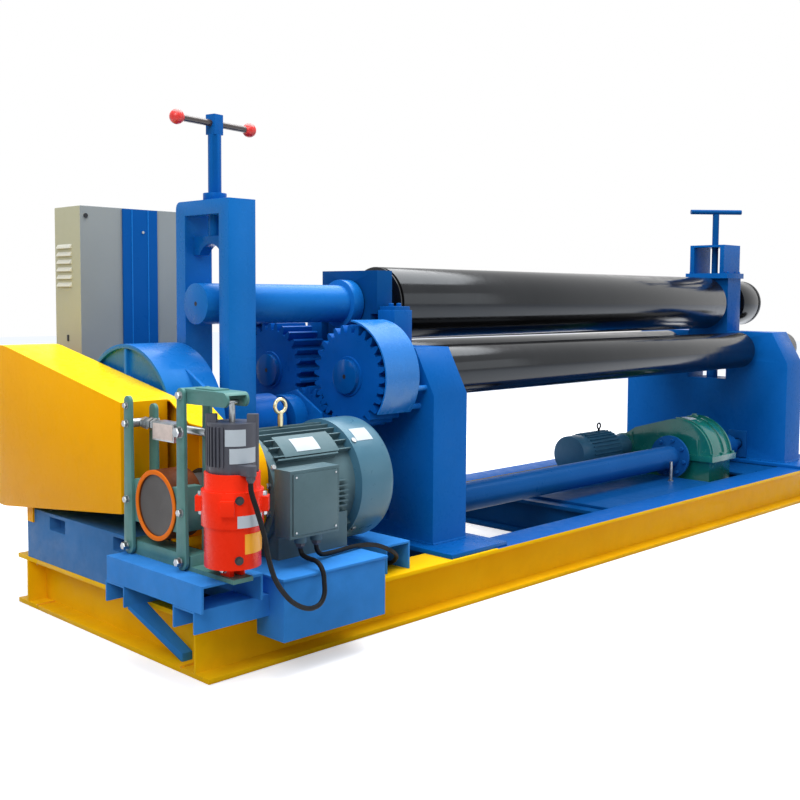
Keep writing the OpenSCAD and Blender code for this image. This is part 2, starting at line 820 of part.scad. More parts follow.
module brake_arm(side, top, inner_top) {
  y = -motor_y + side * brake_half;
  difference() {
    union() {
      for (x = [arm_x0, arm_x1], z = (x == arm_x0 ? top : inner_top) - 17)
        along_x(x, arm_plate)
          polygon(concat(arc(y, pin_z, arm_w2 / 2 + 4, 180, 360, 16), [[y + arm_w2 / 2 - 1, motor_z + 90]],
                         arc(y, z, 17, 0, 180, 14), [[y - arm_w2 / 2 + 1, motor_z + 90]]));
      intersection() {
        difference() {
          bar_x(arm_x0 + arm_plate, -motor_y, motor_z, drum_d + 56, arm_x1 - arm_x0 - arm_plate);
          bar_x(arm_x0, -motor_y, motor_z, drum_d + 0.8, arm_x1 - arm_x0 + arm_plate);
        }
        block([arm_x0, min(y, y - side * 60), motor_z - 62], [arm_x1, max(y, y - side * 60), motor_z + 62]);
      }
    }
    bar_x(arm_x0 - 1, y, pin_z, pin_d + 2 * bearing_clear, arm_x1 - arm_x0 + arm_plate + 2);
  }
}

module front_brake_arm() {
  y = -motor_y - brake_half;
  color([0.3, 0.42, 0.4]) {
    brake_arm(-1, 805, 805);
    bar_x(arm_x0 + 2, y, lever_pin_z, pin_d, arm_x1 - arm_x0 + arm_plate - 4);
  }
}

module rear_brake_arm() {
  color([0.3, 0.42, 0.4]) brake_arm(1, 765, 737);
}

module brake_tie_rod() {
  x = (arm_x0 + arm_x1 + arm_plate) / 2;
  y = -motor_y + brake_half;
  color([0.75, 0.75, 0.73]) {
    bar_x(arm_x0 + arm_plate, y, tie_z, 26, arm_x1 - arm_x0 - arm_plate);
    bar_y(x, -motor_y - brake_half - 60, tie_z, 22, 2 * brake_half + 60);
    block([x - 22, -motor_y - 65, tie_z - 39], [x + 22, -motor_y + 43, tie_z + 13]);
  }
}

module brake_lever() {
  y1 = -motor_y - brake_half + 20;
  x0 = arm_x0 + arm_plate + 1;
  x1 = arm_x1 - 1;
  color([0.3, 0.42, 0.4])
    difference() {
      union() {
        along_x(x0, x1 - x0)
          polygon(concat([[y1, 762], [y1, 803]], arc(thruster_y - 12, 783, 20, 90, 250, 12)));
        block([x0 + 12, thruster_y + 40, 802], [x1 - 12, y1 - 60, 807]);
      }
      block([x0 + 8, thruster_y - 40, 755], [x1 - 8, y1 + 1, 795]);
      bar_x(x0 - 1, -motor_y - brake_half, lever_pin_z, pin_d + 2 * bearing_clear, x1 - x0 + 2);
    }
}

thruster_y = -motor_y - 300;
thruster_x = drive_end + 20;
tie_z = 685;
rod_d = 16;
// Where the thruster's red body ends and its black head begins
head_z = 593;

module thruster_body() {
  color([0.85, 0.12, 0.05]) translate([thruster_x, thruster_y, 0]) {
    translate([0, 0, 345]) cylinder(d = 150, h = 110);
    translate([0, 0, 454]) cylinder(d = 164, h = 94);
    translate([0, 0, 547]) cylinder(d = 148, h = 46);
    for (a = [0:90:270]) rotate([0, 0, a + 45]) translate([60, -18, 490]) cube([36, 36, 40]);
    for (s = [-1, 1]) translate([s * 18 - 7, -20, beam_top + 12]) cube([14, 40, 40]);
  }
}

module thruster_head() {
  color([0.18, 0.18, 0.2]) translate([thruster_x, thruster_y, 0])
    difference() {
      union() {
        translate([0, 0, head_z]) cylinder(d = 130, h = 724 - head_z);
        translate([-12, -94, head_z]) cylinder(d = 30, h = 26);
        translate([-27, -94, head_z]) cube([30, 36, 26]);
        for (a = [-45, 135])
          rotate([0, 0, a]) {
            translate([58, 0, head_z]) cylinder(d = 24, h = 745 - head_z);
            translate([40, -12, head_z]) cube([18, 24, 745 - head_z]);
          }
      }
      translate([0, 0, 640]) cylinder(d = rod_d + 1, h = 100);
    }
}

module thruster_rod() {
  color([0.7, 0.7, 0.7]) translate([thruster_x, thruster_y, 0]) {
    translate([0, 0, 645]) cylinder(d = rod_d, h = 130);
    translate([0, 0, lever_pin_z - 8]) rotate([0, 90, 0]) cylinder(d = 12, h = 36, center = true);
  }
}

// ---------------------------------------------------------------- main motor

// The brake drum and the belt pulley sit on the motor's shaft
pulley_x0 = nose_x0 + 5;
pulley_w = 102;
pulley_d = 176;

module brake_drum() {
  color([0.55, 0.3, 0.1]) {
    difference() {
      bar_x(drum_x0, -motor_y, motor_z, drum_d, drum_w);
      bar_x(drum_x0 - 1, -motor_y, motor_z, drum_d - 26, 9);
    }
    bar_x(drum_x0 + drum_w - 1, -motor_y, motor_z, 150, pulley_x0 - drum_x0 - drum_w + 1);
  }
}

module motor_pulley() {
  color([0.3, 0.3, 0.32]) {
    bar_x(pulley_x0, -motor_y, motor_z, pulley_d, pulley_w);
    bar_x(pulley_x0 + pulley_w - 1, -motor_y, motor_z, shaft_d, motor_x + shaft_in - pulley_x0 - pulley_w + 1);
  }
}

shaft_d = 48;
shaft_in = 35;
rails_z = 285;
plinth_box_x = drive_end + 162;
plinth_front = 121;

module motor_plinth() {
  x0 = plinth_box_x;
  x1 = motor_x + 290;
  y1 = plinth_y0 - 8;
  y0 = -base_front - plinth_front;
  color([0.1, 0.4, 0.75]) {
    block([x0, y0, 107], [x1, -base_front, rails_z - 9]);
    block([x0, -base_front - 1, rail_h], [x1, y1, rails_z - 9]);
    block([x0 - 6, y0 - 6, rails_z - 9], [x1 + 6, y1 + 4, rails_z]);
  }
}

module motor_rail() {
  color([0.1, 0.4, 0.75])
    along_y(-base_front + 30, base_front + base_rear - 70, (pedestal_x0 + pedestal_x1) / 2, rail_h)
      channel_down(110, bearer_top - rail_h, 8);
}

module motor_barrel() {
  feet = 270;
  color([0.34, 0.44, 0.45])
    difference() {
      union() {
        bar_x(motor_x, -motor_y, motor_z, motor_d - 44, barrel_len);
        bar_x(motor_x, -motor_y, motor_z, motor_d - 16, 28);
        for (a = [0:10:350])
          if (abs(a - 180) > 35 && abs(a - 90) > 35)
            translate([motor_x + 27, -motor_y, motor_z]) rotate([a, 0, 0])
              translate([0, -2, motor_d / 2 - 40]) cube([barrel_len - 27, 4, 40]);
        for (s = [-1, 1])
          block([motor_x + 20, -motor_y + s * 125 - 45, rails_z],
                [motor_x + 20 + feet, -motor_y + s * 125 + 45, rails_z + 110]);
      }
      bar_x(motor_x - 1, -motor_y, motor_z, shaft_d + 2 * bearing_clear, shaft_in + 5);
    }
}

module motor_cowl() {
  color([0.34, 0.44, 0.45])
    translate([motor_x + barrel_len, -motor_y, motor_z]) rotate([0, 90, 0])
      rotate_extrude()
        polygon(concat([[0, 0], [cowl_d / 2, 0]], arc(cowl_d / 2 - 30, cowl_len - 30, 30, 0, 90, 8), [[0, cowl_len]]));
}

tbox_y = -motor_y - 284;
// Cable glands under the box
gland_x = [motor_x + 35, motor_x + 95];
gland_z = 350;

module motor_terminal_box() {
  x0 = motor_x - 30;
  color([0.34, 0.44, 0.45]) {
    block([x0, tbox_y, 372], [x0 + 184, tbox_y + 70, 565]);
    difference() {
      block([x0 + 64, tbox_y + 70, 398], [x0 + 150, -motor_y - 100, 538]);
      bar_x(motor_x, -motor_y, motor_z, motor_d - 44, barrel_len);
    }
    for (x = gland_x)
      translate([x, tbox_y + 35, gland_z]) cylinder(d = 36, h = 23);
  }
}

// A lifting eye: a shank of height neck with a ring on top
module eye(x, y, z, d, t, neck) {
  translate([x, y, z]) cylinder(d = t * 1.5, h = neck + t / 2);
  translate([x, y, z + neck + d / 2]) rotate([90, 0, 0]) rotate_extrude() translate([d / 2 - t / 2, 0]) circle(d = t);
}

lift_motor_x = tip_in - 1137;
lift_motor_y = 110;
lift_motor_z = shaft_z + 20;

module lifting_eyes() {
  color([0.8, 0.75, 0.6]) {
    eye(motor_x + 165, -motor_y, motor_z + motor_d / 2, 54, 12, 36);
    eye(lift_motor_x + 254, lift_motor_y, lift_motor_z + 88, 36, 8, 15);
  }
}

// ---------------------------------------------------------------- lift drive

reducer2_x0 = tip_in - 665;
reducer2_x1 = reducer2_x0 + 240;
reducer2_z0 = flange_t + pit_beam_h;

module lift_reducer() {
  case_r = 185;
  color([0.0, 0.35, 0.25])
    difference() {
      union() {
        along_x(reducer2_x0 + 12, reducer2_x1 - reducer2_x0 - 24)
          polygon(concat([[165, shaft_z], [135, 325], [40, 385], [-150, shaft_z + case_r - 8]],
                         arc(-shaft_y - 5, shaft_z, case_r, 80, 180, 18)));
        block([reducer2_x0, -shaft_y - 205, shaft_z - 14], [reducer2_x1, 195, shaft_z + 14]);
        block([reducer2_x0 + 16, -shaft_y - 180, reducer2_z0], [reducer2_x1 - 16, 165, shaft_z]);
        for (y = [-shaft_y - 120, -shaft_y + 80, 60])
          block([reducer2_x0 + 3, y - 5, shaft_z + 13], [reducer2_x1 - 3, y + 5, shaft_z + 90]);
        bar_x(reducer2_x0, lift_motor_y, lift_motor_z, 130, 30);
      }
      bar_x(reducer2_x0 - 1, -shaft_y, shaft_z, shaft_core_d + 2 * bearing_clear, 300);
    }
}

module lift_motor() {
  x = lift_motor_x;
  color([0.2, 0.33, 0.35]) {
    bar_x(x, lift_motor_y, lift_motor_z, 180, 82);
    bar_x(x + 81, lift_motor_y, lift_motor_z, 176, 256);
    bar_x(x + 336, lift_motor_y, lift_motor_z, 120, reducer2_x0 - x - 336);
    block([x + 107, lift_motor_y - 80, deck_top], [x + 312, lift_motor_y + 80, lift_motor_z - 40]);
  }
}

module cross_shaft() {
  flange_x = reducer2_x0 - 56;
  color([0.1, 0.35, 0.65]) {
    bar_x(drive_in - shaft_seat + 4, -shaft_y, shaft_z, shaft_core_d, tip_in - drive_in + 2 * shaft_seat - 8);
    bar_x(drive_in + 17, -shaft_y, shaft_z, tube_d, flange_x - drive_in - 16);
    bar_x(flange_x, -shaft_y, shaft_z, disc_d, 12);
    bar_x(flange_x + 11, -shaft_y, shaft_z, 90, 24);
    bar_x(reducer2_x1 + 195, -shaft_y, shaft_z, 110, 120);
  }
}

module shaft_plates() {
  color([0.1, 0.35, 0.65])
    difference() {
      union() {
        bar_x(drive_in, -shaft_y, shaft_z, 150, 12);
        block([tip_in - 12, -shaft_y - 52, shaft_z - 72], [tip_in, -shaft_y + 52, shaft_z + 72]);
      }
      bar_x(drive_in - 1, -shaft_y, shaft_z, 62, stand_gap + 2);
    }
}

// ---------------------------------------------------------------- cabinet

cabinet_y = base_rear + 20;
cabinet_z = 220;
band_x0 = 168;
band_w = 145;

module cabinet_bracket() {
  color([0.1, 0.4, 0.75])
    for (x = [cabinet_x + 90, cabinet_x + cabinet_w - 90])
      along_y(base_rear - 70, cabinet_y + cabinet_d - base_rear + 70, x, rail_h)
        channel_down(80, cabinet_z - rail_h);
}

module cabinet() {
  color([0.6, 0.62, 0.6])
    block([cabinet_x, cabinet_y, cabinet_z], [cabinet_x + cabinet_w, cabinet_y + cabinet_d, cabinet_z + cabinet_h]);
}

module cabinet_band() {
  color([0.02, 0.3, 0.62])
    block([cabinet_x + band_x0, cabinet_y - 8, cabinet_z + 2],
          [cabinet_x + band_x0 + band_w, cabinet_y, cabinet_z + cabinet_h - 2]);
}

// ---------------------------------------------------------------- cables

// Route of the brake's cable, from the thruster's head to the motor's terminal box,
// with X measured from the base's drive end
brake_route = [[8, -770, head_z], [8, -770, 566], [10, -772, 546], [24, -776, 501], [43, -780, 436],
               [62, -780, 357], [90, -776, 298], [145, -768, 238], [205, -762, 205], [252, -756, 204],
               [277, -750, 226], [284, -742, 260], [286, -735, 285], [289, -717, 303], [292, -692, 310],
               [294, -668, 310], [gland_x[0] - drive_end, -639, 314], [gland_x[0] - drive_end, -629, 324],
               [gland_x[0] - drive_end, tbox_y + 35, 338], [gland_x[0] - drive_end, tbox_y + 35, gland_z]];
// Route of the motor's cable, from the terminal box into the channel, measured the same way
motor_route = [[gland_x[1] - drive_end, tbox_y + 35, gland_z], [gland_x[1] - drive_end, tbox_y + 35, 336], [359, -625, 318],
               [371, -624, 305], [390, -621, 299], [440, -612, 296], [533, -602, 296], [620, -592, 284],
               [680, -586, 262], [725, -580, 238], [752, -560, 214], [762, -525, 190], [766, -480, 178]];

function spline(p, i, t) =
  let (n = len(p) - 1, a = p[max(i - 1, 0)], b = p[i], c = p[min(i + 1, n)], d = p[min(i + 2, n)])
  0.5 * (2 * b + (c - a) * t + (2 * a - 5 * b + 4 * c - d) * t * t + (3 * b - a - 3 * c + d) * t * t * t);
function smooth(p, k) =
  concat([p[0]], [for (i = [1:len(p) - 3]) for (j = [0:k - 1]) spline(p, i, j / k)], [p[len(p) - 2], p[len(p) - 1]]);
function unit(v) = v / norm(v);

// A tube swept along points, with rings turned to the path
module cord(p, d, sides = 8) {
  n = len(p);
  dirs = [for (i = [0:n - 1]) unit(p[min(i + 1, n - 1)] - p[max(i - 1, 0)])];
  ring = [for (i = [0:n - 1])
            let (u = unit(cross(dirs[i], [0.3, 1, 0.2])), v = cross(dirs[i], u))
            for (k = [0:sides - 1]) p[i] + d / 2 * (u * cos(k * 360 / sides) + v * sin(k * 360 / sides))];
  polyhedron(ring, concat(
    [[for (k = [0:sides - 1]) k]],
    [for (i = [0:n - 2]) for (k = [0:sides - 1])
       let (k2 = (k + 1) % sides)
       [i * sides + k, (i + 1) * sides + k, (i + 1) * sides + k2, i * sides + k2]],
    [[for (k = [sides - 1:-1:0]) (n - 1) * sides + k]]));
}

cable_d = 14;

module brake_cable() {
  color([0.05, 0.05, 0.05]) translate([drive_end, 0, 0]) cord(smooth(brake_route, 2), cable_d);
}

module motor_cable() {
  color([0.05, 0.05, 0.05]) translate([drive_end, 0, 0]) cord(smooth(motor_route, 2), cable_d);
}

// ---------------------------------------------------------------- model

front_rail();
rear_rail();
end_beams();
cross_beams();
deck_plate();
drive_stand();
tip_stand();
guide_posts();
reducer_plinth();
reducer_base();
reducer_cover();
belt_guard();
brake_bracket();
brake_beam();
brake_base();
thruster_body();
thruster_head();
motor_plinth();
motor_rail();
motor_barrel();
motor_cowl();
motor_terminal_box();
lifting_eyes();
gear_guard();
pinion_pedestal();
pinion_cover();
tail_portal();
screw_collar();
lift_motor();
lift_reducer();
shaft_plates();
cabinet();
cabinet_band();
cabinet_bracket();
drive_block();
tip_yoke();
tip_box();
upper_roll();
roll_tail();
front_roll();
front_gear();
rear_roll();
rear_gear();
drive_pinion();
brake_drum();
motor_pulley();
front_brake_arm();
rear_brake_arm();
brake_tie_rod();
brake_lever();
thruster_rod();
tail_saddle();
tail_screw();
tail_handle();
tip_handle();
cross_shaft();
brake_cable();
motor_cable();
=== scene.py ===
import bpy, bmesh, math
from mathutils import Matrix, Vector


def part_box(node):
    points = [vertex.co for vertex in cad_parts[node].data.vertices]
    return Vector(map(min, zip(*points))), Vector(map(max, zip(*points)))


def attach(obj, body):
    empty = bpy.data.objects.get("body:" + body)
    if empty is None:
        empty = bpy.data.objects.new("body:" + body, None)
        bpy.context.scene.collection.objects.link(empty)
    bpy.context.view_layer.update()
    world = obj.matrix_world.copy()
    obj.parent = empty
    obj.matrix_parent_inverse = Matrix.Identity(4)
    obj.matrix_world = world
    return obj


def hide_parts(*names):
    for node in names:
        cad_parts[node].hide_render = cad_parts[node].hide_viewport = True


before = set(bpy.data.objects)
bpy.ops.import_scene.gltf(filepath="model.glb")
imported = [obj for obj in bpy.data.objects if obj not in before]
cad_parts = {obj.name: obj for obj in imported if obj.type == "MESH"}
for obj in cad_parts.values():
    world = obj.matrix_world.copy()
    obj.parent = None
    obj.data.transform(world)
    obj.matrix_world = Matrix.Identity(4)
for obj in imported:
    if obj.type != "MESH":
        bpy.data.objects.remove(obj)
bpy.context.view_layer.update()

# ---- The room --------------------------------------------------------------
# A pale floor under plain soft light, and the camera standing off the drive
# end at eye height. Only the machine's own shadow falls on the floor.
camera = bpy.data.objects.new("camera", bpy.data.cameras.new("camera"))
bpy.context.scene.collection.objects.link(camera)
camera.location = (-3.77382, -2.93852, 1.05592)
camera.rotation_euler = [math.radians(a) for a in (86.1616, -0.3362, -45.4554)]
camera.data.lens = 47.959
camera.data.shift_y = -0.0408
camera.data.clip_end = 60
bpy.context.scene.camera = camera
bpy.context.scene.view_settings.view_transform = "Standard"


def wire(tree, kind, inputs=None, **settings):
    """Adds a shader node. An input is a value, or another node's output to link."""
    made = tree.nodes.new("ShaderNode" + kind)
    for key, value in settings.items():
        setattr(made, key, value)
    for key, value in (inputs or {}).items():
        if isinstance(value, bpy.types.NodeSocket):
            tree.links.new(value, made.inputs[key])
        else:
            made.inputs[key].default_value = value
    return made


def shows_white(tree):
    """1 for the rays that see the pale background: the camera's own, and those off metal or through glass."""
    ray = wire(tree, "LightPath").outputs
    seen = wire(tree, "Math", {0: ray["Is Camera Ray"], 1: ray["Is Glossy Ray"]}, operation="MAXIMUM")
    return wire(tree, "Math", {0: seen.outputs[0], 1: ray["Is Transmission Ray"]}, operation="MAXIMUM").outputs[0]


def area_lamp(name, place, aim, size, power):
    """A square soft lamp at a place, aimed at a point."""
    lamp = bpy.data.objects.new(name, bpy.data.lights.new(name, "AREA"))
    lamp.data.size = size
    lamp.data.energy = power
    lamp.location = place
    lamp.rotation_euler = (Vector(aim) - Vector(place)).to_track_quat("-Z", "Y").to_euler()
    bpy.context.scene.collection.objects.link(lamp)


area_lamp("key_lamp", (-5.8, -2.6, 4.4), (-0.8, 0, 0.6), 3.0, 150)
area_lamp("top_lamp", (0.0, 0.2, 5.4), (0, 0, 0), 6.0, 520)
area_lamp("side_lamp", (2.6, -6.4, 2.6), (0.4, 0, 0.5), 3.5, 40)

# the hall round the machine: dim and warm low down, brighter and cooler above
floor_light, roof_light = (1.0, 0.84, 0.62, 1), (0.86, 0.95, 1.12, 1)
white = (1, 1, 1, 1)
world = bpy.data.worlds.new("studio")
bpy.context.scene.world = world
world.use_nodes = True
sky = world.node_tree
up = wire(sky, "SeparateXYZ", {0: wire(sky, "TexCoord").outputs["Generated"]}).outputs[2]
strength = wire(sky, "MapRange", {"Value": up, "From Min": -0.1, "From Max": 0.75, "To Min": 0.16, "To Max": 0.75})
cool = wire(sky, "MapRange", {"Value": up, "From Min": -0.2, "From Max": 0.3})
light = wire(sky, "Mix", {0: cool.outputs[0], 6: floor_light, 7: roof_light}, data_type="RGBA")
hall = wire(sky, "Background", {"Color": light.outputs[2], "Strength": strength.outputs[0]})
bright = wire(sky, "Background", {"Color": white, "Strength": 1.0})
both = wire(sky, "MixShader", {0: shows_white(sky), 1: hall.outputs[0], 2: bright.outputs[0]})
sky.links.new(both.outputs[0], sky.nodes["World Output"].inputs["Surface"])

bm = bmesh.new()
bmesh.ops.create_grid(bm, x_segments=1, y_segments=1, size=22)
floor_mesh = bpy.data.meshes.new("floor")
bm.to_mesh(floor_mesh)
bm.free()
floor = bpy.data.objects.new("floor", floor_mesh)
bpy.context.scene.collection.objects.link(floor)
floor.location.z = -0.0006
floor_paint = bpy.data.materials.new("pale_floor")
floor_paint.use_nodes = True
tree = floor_paint.node_tree
pale = wire(tree, "BsdfDiffuse", {"Color": (0.86, 0.86, 0.86, 1)})
dull = wire(tree, "BsdfDiffuse", {"Color": (0.3, 0.27, 0.24, 1)})
glow = wire(tree, "Emission", {"Color": white, "Strength": 0.42})
added = wire(tree, "AddShader", {0: pale.outputs[0], 1: glow.outputs[0]})
both = wire(tree, "MixShader", {0: shows_white(tree), 1: dull.outputs[0], 2: added.outputs[0]})
tree.links.new(both.outputs[0], tree.nodes["Material Output"].inputs["Surface"])
floor.data.materials.append(floor_paint)

# ---- Cables ----------------------------------------------------------------
# Two black rubber-sheathed cables, 14 mm thick: the brake's, which hangs in a
# loop from the thruster's gland to the motor's terminal box, and the motor's
# own, which lies along the motor's base and runs into the channel.


def srgb(r, g, b):
    """A colour named by its 0 to 255 values, as the linear values that a shader takes."""
    return tuple((v / 255 / 12.92) if v <= 10 else ((v / 255 + 0.055) / 1.055) ** 2.4 for v in (r, g, b))


def blend_of(tree, amount, low, high):
    """A colour that goes from low to high as amount goes from 0 to 1."""
    made = wire(tree, "Mix", data_type="RGBA")
    for socket, value in ((made.inputs[0], amount), (made.inputs[6], low), (made.inputs[7], high)):
        if isinstance(value, bpy.types.NodeSocket):
            tree.links.new(value, socket)
        elif hasattr(value, "__len__"):
            socket.default_value = (*value[:3], 1)
        else:
            socket.default_value = value
    return made.outputs[2]


def finish_nodes(name, colour, rough, spread=0.1, cloud=0.12, cloud_size=2.5, grain=220.0, grain_depth=0.1,
                 metal=0.0, coat=0.0, grime=0.0, stretch=(1, 1, 1), gloss=0.5, tint=(1, 1, 1)):
    """A paint, metal or rubber with broad tone clouds, fine grain, uneven gloss and some grime.

    Returns the material, its tree, its shader and the socket that its grain is read from.
    """
    made = bpy.data.materials.new(name)
    made.use_nodes = True
    tree = made.node_tree
    shader = tree.nodes["Principled BSDF"]
    place = wire(tree, "TexCoord").outputs["Object"]
    if stretch != (1, 1, 1):
        place = wire(tree, "Mapping", {"Vector": place, "Scale": stretch}).outputs[0]
    broad = wire(tree, "TexNoise", {"Vector": place, "Scale": cloud_size, "Detail": 6.0, "Roughness": 0.6})
    eased = wire(tree, "MapRange", {"Value": broad.outputs[0], "From Min": 0.3, "From Max": 0.7})
    low = [c * (1 - cloud) for c in colour]
    high = [min(1.0, c * (1 + cloud) + 0.004) for c in colour]
    tone = blend_of(tree, eased.outputs[0], low, high)
    if grime:
        patches = wire(tree, "TexNoise", {"Vector": place, "Scale": 9.0, "Detail": 8.0, "Roughness": 0.7,
                                          "Distortion": 0.4})
        where = wire(tree, "MapRange", {"Value": patches.outputs[0], "From Min": 0.56, "From Max": 0.74,
                                        "To Max": grime})
        tone = blend_of(tree, where.outputs[0], tone, [c * 0.35 + 0.006 for c in colour])
    tree.links.new(tone, shader.inputs["Base Color"])
    middle = wire(tree, "TexNoise", {"Vector": place, "Scale": 26.0, "Detail": 5.0, "Roughness": 0.65})
    uneven = wire(tree, "MapRange", {"Value": middle.outputs[0], "From Min": 0.3, "From Max": 0.7,
                                     "To Min": max(0.03, rough - spread), "To Max": min(1.0, rough + spread)})
    tree.links.new(uneven.outputs[0], shader.inputs["Roughness"])
    fine = wire(tree, "TexNoise", {"Vector": place, "Scale": grain, "Detail": 3.0})
    height = wire(tree, "Math", {0: middle.outputs[0], 1: fine.outputs[0]}, operation="ADD")
    bump = wire(tree, "Bump", {"Strength": grain_depth, "Distance": 0.001, "Height": height.outputs[0]})
    tree.links.new(bump.outputs[0], shader.inputs["Normal"])
    shader.inputs["Metallic"].default_value = metal
    shader.inputs["Coat Weight"].default_value = coat
    shader.inputs["Coat Roughness"].default_value = 0.12
    shader.inputs["Specular IOR Level"].default_value = gloss
    shader.inputs["Specular Tint"].default_value = (*tint, 1)
    return made, tree, shader, place


def finish(name, colour, rough, **settings):
    """The same finish, where its nodes aren't worked on further."""
    return finish_nodes(name, colour, rough, **settings)[0]


def route(points, steps):
    """The points of a smooth run through a cable's own points, straight at both ends."""
    p = [Vector(q) / 1000 for q in points]
    out = [p[0]]
    for i in range(1, len(p) - 2):
        a, b, c, d = p[i - 1], p[i], p[i + 1], p[i + 2]
        for j in range(steps):
            t = j / steps
            square, cube = 2 * a - 5 * b + 4 * c - d, 3 * b - a - 3 * c + d
            out.append(0.5 * (2 * b + (c - a) * t + square * t * t + cube * t ** 3))
    return out + [p[-2], p[-1]]


rubber = finish("cable_rubber", srgb(17, 18, 20), 0.55, cloud=0.25, cloud_size=30, grain=400, grain_depth=0.15,
                gloss=0.12)
cable_thick = 0.014
cable_runs = {
    "brake_cable": [
        (-2112, -770, 593), (-2112, -770, 566), (-2110, -772, 546), (-2096, -776, 501), (-2077, -780, 436),
        (-2058, -780, 357), (-2030, -776, 298), (-1975, -768, 238), (-1915, -762, 205), (-1868, -756, 204),
        (-1843, -750, 226), (-1836, -742, 260), (-1834, -735, 285), (-1831, -717, 303), (-1828, -692, 310),
        (-1826, -668, 310), (-1825, -639, 314), (-1825, -629, 324), (-1825, -625, 338), (-1825, -625, 350)],
    "motor_cable": [
        (-1765, -625, 350), (-1765, -625, 336), (-1761, -625, 318), (-1749, -624, 305), (-1730, -621, 299),
        (-1680, -612, 296), (-1587, -602, 296), (-1500, -592, 284), (-1440, -586, 262), (-1395, -580, 238),
        (-1368, -560, 214), (-1358, -525, 190), (-1354, -480, 178)],
}
for cable_name, points in cable_runs.items():
    line = route(points, 6)
    curve = bpy.data.curves.new(cable_name + "_run", "CURVE")
    curve.dimensions = "3D"
    spline = curve.splines.new("POLY")
    spline.points.add(len(line) - 1)
    for point, place in zip(spline.points, line):
        point.co = (*place, 1)
    curve.bevel_depth = cable_thick / 2
    curve.bevel_resolution = 5
    curve.use_fill_caps = True
    curve.materials.append(rubber)
    cable = bpy.data.objects.new(cable_name + "_run", curve)
    bpy.context.scene.collection.objects.link(cable)
    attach(cable, "frame")
    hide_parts(cable_name)

# ---- Base frame ------------------------------------------------------------
# Two rolled I-beams with two more across their ends, welded and painted ochre.
# The paint is thin and uneven on the mill scale, and darker and browner in
# patches towards the bottom. Past the drive stand the rails' tops are blue,
# sprayed over with the deck.


def coat_node(names, material, round_edges=0.0, angle=30):
    """Gives CAD nodes a material, smooth curves, crisp corners and, on plain plates, a slight edge radius."""
    for node_name in names:
        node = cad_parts[node_name]
        node.data.materials.clear()
        node.data.materials.append(material)
        for face in node.data.polygons:
            face.material_index = 0
            face.use_smooth = True
        weld = node.modifiers.new("weld", "WELD")
        weld.merge_threshold = 0.00002
        if round_edges:
            ease = node.modifiers.new("ease", "BEVEL")
            ease.width = round_edges
            ease.segments = 2
            ease.limit_method = "ANGLE"
            ease.angle_limit = math.radians(50)
        split = node.modifiers.new("corners", "EDGE_SPLIT")
        split.split_angle = math.radians(angle)


def object_axes(tree):
    """The sockets of a point's place along X, Y and Z."""
    return wire(tree, "SeparateXYZ", {0: wire(tree, "TexCoord").outputs["Object"]}).outputs


def recolour(tree, shader, amount, colour):
    """Turns a finish to another colour as amount goes from 0 to 1."""
    tone = shader.inputs["Base Color"].links[0].from_socket
    tree.links.new(blend_of(tree, amount, tone, colour), shader.inputs["Base Color"])


low_darkening_height = 0.12
rail_face_top = 0.1693
deck_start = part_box("drive_stand")[1].x - 0.06
ochre, tree, shader, place = finish_nodes(
    "base_paint", srgb(255, 194, 4), 0.42, cloud=0.08, cloud_size=4, grain=160, grain_depth=0.2, grime=0.12,
    gloss=0.06, tint=(1, 0.7, 0.1))
x, _, z = object_axes(tree)
# the paint turns darker and browner in noise patches towards the floor
near_floor = wire(tree, "MapRange", {"Value": z, "From Min": 0.0, "From Max": low_darkening_height,
                                     "To Min": 0.55, "To Max": 0.0})
low_patches = wire(tree, "TexNoise", {"Vector": place, "Scale": 14.0, "Detail": 7.0, "Roughness": 0.7})
amount = wire(tree, "Math", {0: near_floor.outputs[0], 1: low_patches.outputs[0]}, operation="MULTIPLY")
recolour(tree, shader, amount.outputs[0], srgb(186, 130, 26))
on_top = wire(tree, "Math", {0: z, 1: rail_face_top}, operation="GREATER_THAN")
past = wire(tree, "Math", {0: x, 1: deck_start}, operation="GREATER_THAN")
blue_top = wire(tree, "Math", {0: on_top.outputs[0], 1: past.outputs[0]}, operation="MULTIPLY")
recolour(tree, shader, blue_top.outputs[0], srgb(12, 84, 158))
coat_node(["front_rail", "rear_rail", "end_beams"], ochre, 0.002)


def build(name, bm, body, material):
    """Turns a bmesh into a finished piece that rides on a body."""
    bmesh.ops.remove_doubles(bm, verts=bm.verts, dist=1e-6)
    bmesh.ops.recalc_face_normals(bm, faces=bm.faces)
    mesh = bpy.data.meshes.new(name)
    bm.to_mesh(mesh)
    bm.free()
    mesh.shade_smooth()
    mesh.set_sharp_from_angle(angle=math.radians(35))
    mesh.materials.append(material)
    made = bpy.data.objects.new(name, mesh)
    bpy.context.scene.collection.objects.link(made)
    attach(made, body)


def rod(bm, place, direction, radius, length, sides=24, end=None):
    """A round bar from a place along a direction, tapering to end where it is given."""
    turn = Vector((0, 0, 1)).rotation_difference(Vector(direction).normalized()).to_matrix().to_4x4()
    at = Matrix.Translation(Vector(place)) @ turn @ Matrix.Translation((0, 0, length / 2))
    bmesh.ops.create_cone(bm, cap_ends=True, segments=sides, radius1=radius, radius2=radius if end is None else end,
                          depth=length, matrix=at)


# beads where the end beams' flanges meet the rails'
rail_ends = 2.12
weld_y, weld_z = (-0.458, 0.384), (0.0152, 0.1548)
weld_radius, weld_length = 0.004, 0.136
weld_bead = finish("weld_bead_ochre", srgb(226, 160, 12), 0.5, cloud=0.3, cloud_size=60, grain=120, grain_depth=0.6)
bm = bmesh.new()
for end in (-1, 1):
    for y in weld_y:
        for z in weld_z:
            rod(bm, (end * rail_ends, y, z), (-end, 0, 0), weld_radius, weld_length, 8)
build("base_welds", bm, "frame", weld_bead)

# ---- Deck, stands and guide posts ------------------------------------------
# Thick flame-cut plate, welded, filled and sprayed in a half-gloss blue. The
# stands are welded to foot plates that lie on the rails.


